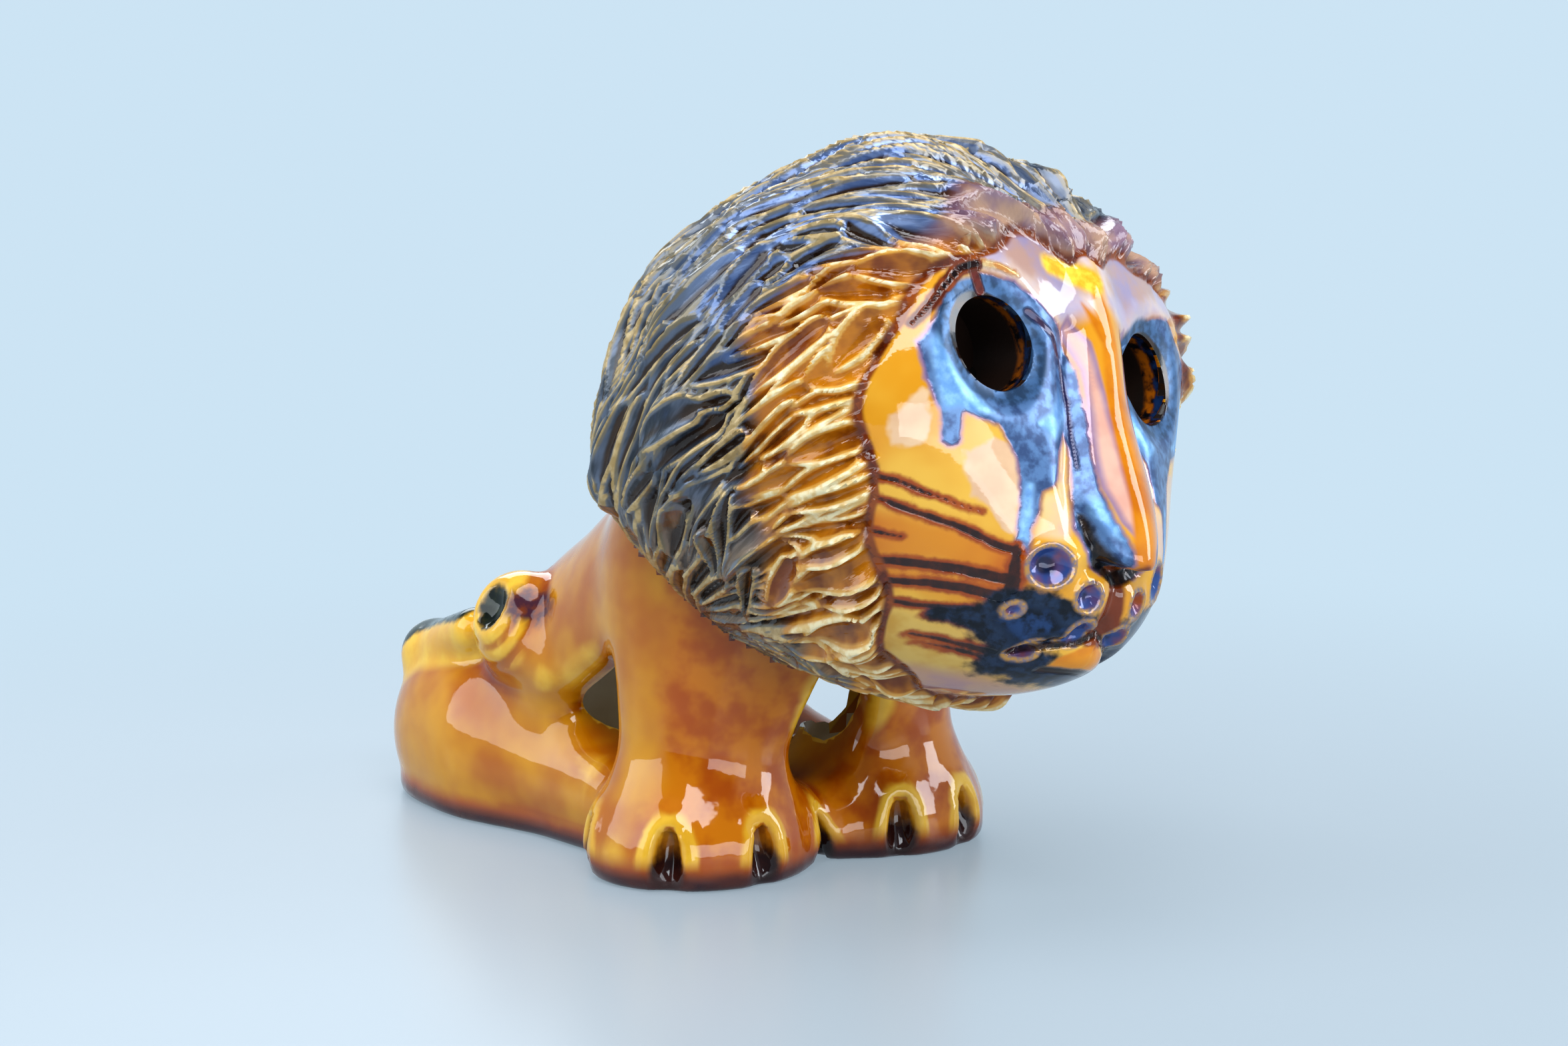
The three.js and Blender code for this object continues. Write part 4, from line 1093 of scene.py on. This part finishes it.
# Amber lead-type glaze dipped over slip-cast pottery and fired glossy: honey where it lies even, deep
# orange in pools, yellow where it runs thin off an edge, plum brown where it gathers and burns at the foot.
AMBER_ON_BODY = (
    (None, 0, 0, 0, "torn", "#AC5C00", "#CC8C0A", "pool", 0.0, 0.05, 0),
    # painted shade: the fronts of the legs and paws, which face the darker room in front, a deeper orange
    ("back", 11, 3, 7, "cloud", "#A84E00", "#C47204", "cloud", 0.0, 0.05, 0),
    ("hollow", -0.18, -0.50, 0.1, "cloud", "#E6B43C", "#D8A028", "cloud", 0.0, 0.05, 0),
    ("hollow", 0.10, 0.50, 0.1, "cloud", "#8A3402", "#A04604", "cloud", 0.0, 0.05, 0),
    ("tail", 4.0, 1.0, 1.5, "cloud", "#DFA228", "#EAB838", "cloud", 0.0, 0.05, 0),
    ("tail_top", 0.9, -0.6, 1.6, "torn", "#141A10", "#2A2E14", "torn", 0.2, 0.12, 0),
    ("bruise", 2.0, -2.0, 2.5, "torn", "#4A2430", "#7A3A18", "torn", 0.1, 0.08, 0),
    ("height", 7.5, 3.5, 3.0, "cloud", "#A24C04", "#8C3C04", "cloud", 0.0, 0.05, 0),
    ("height", 5.0, 1.8, 2.5, "cloud", "#4E2018", "#3A161C", "cloud", 0.0, 0.08, 0),
    ("claw_arch", 1.6, 0.0, 1.8, "cloud", "#D69A26", "#BC740C", "cloud", 0.0, 0.05, 0),
    ("claw", 0.3, -0.3, 0.3, "torn", "#A8640C", "#844206", "cloud", 0.0, 0.06, 0),
    ("claw_tip", 2.0, 0.3, 0.8, "torn", "#3A1A14", "#24100E", "cloud", 0.0, 0.07, 0),
    ("fold", 0.5, -0.7, 0.6, "cloud", "#EBC048", "#DDA428", "cloud", 0.0, 0.05, 0),
    ("dimple", 6.9, 6.0, 0.9, "torn", "#0F140B", "#22280F", "torn", 0.2, 0.08, 0),
)

# The same amber on the face, over painted iron-brown lines and under runs of a metallic blue lustre.
AMBER_AND_LUSTRE_ON_FACE = (
    (None, 0, 0, 0, "torn", "#DA9420", "#EAB444", "pool", 0.0, 0.05, 0),
    ("ochre", 3.0, -3.0, 4.0, "cloud", "#CE9A3A", "#DCB25A", "cloud", 0.0, 0.06, 0),
    ("stain", 2.5, -2.5, 3.0, "cloud", "#C26206", "#D88818", "pool", 0.0, 0.05, 0),
    # the chin: tan glaze with a painted pinkish reflection
    ("chin", 1.5, -2.0, 2.0, "cloud", "#C8987C", "#B88A88", "cloud", 0.0, 0.06, 0),
    # rosy brow glaze, lightened and greyed to lilac by a painted reflection of the room
    ("brow", 1.5, -2.5, 3.0, "cloud", "#DABEAE", "#B8A6B6", "cloud", 0.0, 0.06, 0),
    ("brow", -2.0, -7.0, 9.0, "cloud", "#B48E80", "#9A8AA4", "cloud", 0.0, 0.05, 0),
    ("hollow", 0.15, 0.5, 0.1, "torn", "#8E3A06", "#A04A0A", "cloud", 0.0, 0.05, 0),
    # painted reflections: pale peach patches on the cheeks
    ("pale", 0.4, -0.5, 5.0, "cloud", "#E4BC92", "#DAAC86", "cloud", 0.0, 0.05, 0),
    ("rosy", 0.6, -1.4, 0.8, "cloud", "#DCB096", "#E8C284", "cloud", 0.0, 0.05, 0),
    # painted reflection on the nose's flank: a lilac edge, then pinkish peach
    ("flank", 0.5, -0.4, 0.5, "cloud", "#A8889C", "#9A7890", "cloud", 0.1, 0.06, 0),
    ("flank", -0.1, -1.8, 0.5, "cloud", "#DDAE98", "#D8A08C", "cloud", 0.0, 0.05, 0),
    ("crest", 0.4, -0.9, 0.4, "cloud", "#D68408", "#C26C04", "cloud", 0.0, 0.05, 0),
    ("yellow", 1.6, -0.2, 2.0, "cloud", "#F4CC44", "#E4A826", "torn", 0.0, 0.05, 0),
    ("steel", 1.2, 0.1, 1.0, "torn", "#94789A", "#A8745C", "cloud", 0.2, 0.08, 0),
    ("steel", 0.35, -0.25, 1.0, "torn", "#3A5078", "#6080AA", "torn", 0.35, 0.28, 0.08),
    # painted highlights on the blue lustre
    ("bright", 1.0, -0.8, 1.6, "torn", "#8CB8E0", "#6A98CA", "torn", 0.4, 0.36, 0.05),
    ("eye", 3.4, 1.8, 0.8, "torn", "#2C4460", "#4A6C94", "torn", 0.4, 0.30, 0),
    ("eye", 0.3, -0.4, 0.6, "torn", "#15151C", "#3A220E", "torn", 0.1, 0.12, 0),
    ("crease", 0.6, -0.1, 0.5, "torn", "#2A2A50", "#3E2440", "torn", 0.2, 0.12, -0.12),
    ("line", 1.1, 0.2, 1.2, "torn", "#AC5206", "#983E04", "cloud", 0.0, 0.05, 0),
    ("line", 0.15, -0.22, 0.5, "torn", "#2A0C04", "#421606", "torn", 0.0, 0.06, -0.10),
    ("muzzle", 1.2, -0.5, 2.6, "torn", "#0E1622", "#263852", "torn", 0.35, 0.16, 0.05),
    ("muzzle", -1.8, -4.0, 2.6, "cloud", "#2E4A74", "#121A26", "torn", 0.5, 0.20, 0),
    ("philtrum", 0.7, -0.6, 0.6, "torn", "#9A480A", "#74300A", "cloud", 0.0, 0.05, 0),
    ("ring", 1.1, 0.4, 0.5, "torn", "#C4924E", "#8A7A80", "speck", 0.35, 0.12, 0),
    ("ring", 0.1, -0.5, 0.3, "torn", "#A84C0A", "#34508A", "cloud", 0.2, 0.07, 0),
    ("ring", -1.4, -2.4, 0.6, "torn", "#6A2A08", "#1C2848", "cloud", 0.2, 0.07, 0),
    ("lip", 0.3, -0.4, 0.3, "torn", "#E08E1A", "#CC7810", "cloud", 0.0, 0.05, 0),
    ("nostril", 0.6, -0.3, 0.6, "torn", "#14131A", "#3A2C24", "torn", 0.3, 0.14, -0.2),
    ("mouth", 0.5, -0.2, 0.4, "torn", "#1E120E", "#3A1A0C", "torn", 0.1, 0.10, -0.3),
    ("brow_edge", 0.5, -0.5, 1.2, "torn", "#D08C4A", "#E8C890", "torn", 0.3, 0.10, 0.3),
    ("crack", 0.5, -0.1, 0.6, "torn", "#4A0E06", "#6A1E0A", "torn", 0.0, 0.10, -0.5),
    # painted shade in the deep gap under the mane's front edge
    ("crevice", 1.2, 0.6, 0.8, "torn", "#8A4014", "#5A220A", "torn", 0.0, 0.10, 0),
    ("crevice", 0.35, -0.15, 0.6, "torn", "#1C0A06", "#240E08", "torn", 0.0, 0.06, -0.25),
    # painted shade: dark brown in the seam where the mane's front edge rises from the face
    ("behind", -1.5, -0.5, 2.2, "cloud", "#6E2A0A", "#8E4612", "cloud", 0.0, 0.06, 0),
)

# Thick dark lustre over the combed mane: gunmetal, near black and brown where it pools in the troughs, tan
# and gold where it breaks over the burrs; a violet-blue sheen is painted on its upper right side, which
# faces the windows;
# along the front edge amber runs over it, cream on the ridges.
LUSTRE_ON_MANE = (
    (None, 0, 0, 0, "torn", "#383E46", "#687080", "streak", 0.45, 0.19, 0),
    # painted sheen: violet blue on the mane's upper right side, which faces the windows
    ("blue", 58, 24, 50, "streak", "#566A94", "#8C9DC2", "streak", 0.5, 0.18, 0),
    ("high", -20, -36, 14, "pool", "#705A46", "#94785A", "streak", 0.3, 0.20, 0),
    ("hollow", 0.08, 0.42, 0.1, "torn", "#16181E", "#242226", "cloud", 0.3, 0.14, 0),
    ("hollow", 0.02, 0.30, 0.5, "pool", "#3A2410", "#2A1A10", "cloud", 0.1, 0.08, 0),
    ("ridge", 0.30, 0.70, 0.6, "cloud", "#73767E", "#7E725C", "streak", 0.4, 0.24, 0),
    ("ridge", 0.82, 1.10, 1.5, "pool", "#A68A58", "#C4A878", "torn", 0.2, 0.26, 0),
    ("warm", 4, -4, 10, "pool", "#7A3A06", "#C67C12", "cloud", 0.05, 0.06, 0),
    ("warm_ridge", 0.15, 0.55, 0.3, "cloud", "#BE8230", "#DCA650", "cloud", 0.0, 0.07, 0),
    ("warm_ridge", 0.66, 1.00, 0.5, "cloud", "#DCB878", "#EEDCB0", "torn", 0.0, 0.10, 0),
    # the mane's front edge over the brow: brown and plum glaze, then pink-tan and lilac-grey as a painted
    # reflection of the room
    ("crown", 2.5, -2.5, 5.0, "pool", "#7A4020", "#6E4E60", "cloud", 0.1, 0.08, 0),
    ("crown", 1.0, -4.0, 9.0, "cloud", "#B8947C", "#8A7080", "cloud", 0.0, 0.08, 0),
    # painted shade: dark brown in the seam at the foot of the mane's front edge
    ("behind", 1.6, 0.3, 1.2, "cloud", "#5E240A", "#7C3A10", "cloud", 0.0, 0.08, 0),
)

# Inside, bare buff clay, painted dark brown up in the head as shade, where little light gets in, and dull
# there;
# some black, amber and blue ran in round the eyes.
INSIDE_CLAY_AND_SHADE = (
    (None, 0, 0, 0, "torn", "#C4AC8C", "#D6C2A2", "pool", 0.0, 0.5, 0),
    # painted shade: dark brown up in the head
    ("height", 50, 66, 8, "pool", "#1E130C", "#33221A", "pool", 0.0, 0.4, 0),
    ("eye_wall", 6.2, 4.6, 1.5, "torn", "#101016", "#B5640F", "torn", 0.1, 0.07, 0),
    ("eye_wall", 3.4, 2.2, 1.6, "torn", "#24406E", "#101018", "torn", 0.3, 0.12, 0),
)

# each finish: its name, its layers, and its unevenness as grains and heights in mm
FINISHES = (
    ("amber_glaze_on_body", AMBER_ON_BODY, (("pool", 0.25), ("cloud", 0.10), ("torn", 0.006))),
    ("amber_and_lustre_on_face", AMBER_AND_LUSTRE_ON_FACE, (("cloud", 0.05), ("torn", 0.015))),
    ("dark_lustre_on_mane", LUSTRE_ON_MANE, (("streak", 0.22), ("torn", 0.08))),
    ("buff_clay_and_painted_shade_inside", INSIDE_CLAY_AND_SHADE, (("cloud", 0.1), ("speck", 0.03))),
)
ON_BODY, ON_FACE, ON_MANE, ON_INSIDE = range(len(FINISHES))
# how far the lion's points stay inside the solid's box, in metres
BOX_GAP = 2e-5


def finish_lion():
    low, high = (np.array(v) for v in cad_box)
    keep_inside(lion, low + BOX_GAP, high - BOX_GAP)
    marks = write_marks(lion)
    mesh = lion.data
    mesh.materials.clear()
    for finish in FINISHES:
        mesh.materials.append(glaze(*finish))
    start = read(mesh.polygons, "loop_start", kind=int)
    corner = read(mesh.loops, "vertex_index", kind=int)

    def mean(name):
        """A mark's mean over each face's first three points."""
        return sum(marks[name][corner[start + m]] for m in range(3)) / 3

    part = np.where(mean("on_head") > 0.5, np.where(mean("behind") > 0, ON_MANE, ON_FACE), ON_BODY)
    mesh.polygons.foreach_set("material_index", np.where(mean("inside") > 0.2, ON_INSIDE, part))
    mesh.polygons.foreach_set("use_smooth", np.ones(len(mesh.polygons), bool))
    mesh.set_sharp_from_angle(angle=math.radians(70))
    mesh.update()


finish_lion()
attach(lion, "root")
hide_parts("lion")


# Floor, light and camera
ROOM_BLUE = "#C0D4E2"
ROOM_OVERHEAD = "#6F7C8A"
ROOM_FRONT = "#5C656F"
FRONT_WAY = (-0.62, -0.78, 0.0)
# the floor, in metres: it fades into the room between these distances from its middle
FLOOR_HALF = 20.0
FADE_NEAR = 0.08
FADE_FAR = 0.42
# how much of the room's glow shows on the floor under the lion
FLOOR_GLOW = 0.4


def lay_floor():
    """A pale floor with a soft gloss and a faint glow that fades into the pale room around it."""
    ground = bpy.data.meshes.new("pale_floor")
    corners = [(x * FLOOR_HALF, y * FLOOR_HALF, 0) for x, y in ((-1, -1), (1, -1), (1, 1), (-1, 1))]
    ground.from_pydata(corners, [], [(0, 1, 2, 3)])
    floor = bpy.data.objects.new("pale_floor", ground)
    bpy.context.scene.collection.objects.link(floor)
    # satin acrylic sheet: polished but not sharp, so it mirrors the lion as a blur
    made = bpy.data.materials.new("satin_white_acrylic_floor")
    tree = empty_tree(made)
    place = add(tree, "TexCoord", {}, {}).outputs["Object"]
    far = add(tree, "VectorMath", {"operation": "LENGTH"}, {0: place}).outputs["Value"]
    fade = add(tree, "MapRange", SOFT_STEP, {
        "Value": far, "From Min": FADE_NEAR, "From Max": FADE_FAR, "To Min": FLOOR_GLOW}).outputs["Result"]
    sheet = add(tree, "BsdfPrincipled", {}, {
        "Base Color": linear("#9EA2A6"), "Roughness": 0.3, "IOR": 1.49})
    room = add(tree, "Emission", {}, {"Color": linear(ROOM_BLUE), "Strength": 1.0})
    both = add(tree, "MixShader", {}, {0: fade, 1: sheet.outputs["BSDF"], 2: room.outputs["Emission"]})
    add(tree, "OutputMaterial", {}, {"Surface": both.outputs["Shader"]})
    ground.materials.append(made)


def pale_room():
    """Even pale light all round; darker in front and overhead, where the soft boxes hang."""
    world = bpy.data.worlds.new("pale_room")
    tree = empty_tree(world)
    way = add(tree, "TexCoord", {}, {}).outputs["Generated"]
    up = add(tree, "SeparateXYZ", {}, {0: way}).outputs["Z"]
    front = add(tree, "VectorMath", {"operation": "DOT_PRODUCT"}, {0: way, 1: FRONT_WAY}).outputs["Value"]
    tone = linear(ROOM_BLUE)
    for where, pale, full, dark in ((up, 0.3, 0.55, ROOM_OVERHEAD), (front, 0.55, 0.75, ROOM_FRONT)):
        share = add(tree, "MapRange", SOFT_STEP, {
            "Value": where, "From Min": pale, "From Max": full}).outputs["Result"]
        tone = add(tree, "MixRGB", {}, {
            "Fac": share, "Color1": tone, "Color2": linear(dark)}).outputs["Color"]
    sky = add(tree, "Background", {}, {"Color": tone, "Strength": 1.0})
    add(tree, "OutputWorld", {}, {"Surface": sky.outputs["Background"]})
    bpy.context.scene.world = world


SKY = (0.88, 0.94, 1.0)
# each soft box: name, place, the point it faces, width, height, watts, colour
SOFT_BOXES = (
    ("window_left", (-2.34, 1.24, 1.50), (0, 0, 0.06), 3.0, 2.2, 44.0, SKY),
    ("window_front", (0.98, -0.86, 0.50), (0, 0, 0.07), 0.40, 0.9, 6.5, SKY),
    ("window_high", (-1.20, -1.90, 2.10), (0, 0, 0.05), 2.0, 1.4, 52.0, SKY),
    ("window_low", (-0.15, -1.30, 0.16), (0, 0, 0.05), 1.2, 0.3, 3.8, SKY),
    ("window_back", (0.5, 1.3, 0.8), (0, 0, 0.05), 0.9, 0.6, 5.0, SKY),
    ("ceiling", (-0.1, 0.0, 1.2), (0, 0, 0), 0.9, 0.9, 9.0, (0.90, 0.95, 1.0)),
)


def stand(thing, place, aim):
    """Puts a light or the camera into the scene, facing a point."""
    thing.location = place
    thing.rotation_euler = (Vector(aim) - Vector(place)).to_track_quat("-Z", "Y").to_euler()
    bpy.context.scene.collection.objects.link(thing)


def soft_box(name, place, aim, width, height, power, colour):
    light = bpy.data.lights.new(name, "AREA")
    light.shape = "RECTANGLE"
    light.size = width
    light.size_y = height
    light.energy = power
    light.color = colour
    made = bpy.data.objects.new(name, light)
    made.visible_camera = False
    stand(made, place, aim)


CAMERA_PLACE = (np.array([-408.88, -509.21, 160.0]) + PLACE) * MM
CAMERA_AIM = (np.array([-8.7, 3.0, 70.0]) + PLACE) * MM
SENSOR_WIDTH = 36.0
FOCAL_LENGTH = 76.27


def set_camera():
    lens = bpy.data.cameras.new("camera")
    lens.sensor_width = SENSOR_WIDTH
    lens.lens = FOCAL_LENGTH
    lens.clip_start = 0.01
    camera = bpy.data.objects.new("camera", lens)
    stand(camera, CAMERA_PLACE, CAMERA_AIM)
    bpy.context.scene.camera = camera


lay_floor()
pale_room()
for box in SOFT_BOXES:
    soft_box(*box)
set_camera()
bpy.context.scene.view_settings.view_transform = "Standard"
bpy.context.scene.view_settings.look = "Medium High Contrast"

bpy.context.view_layer.update()
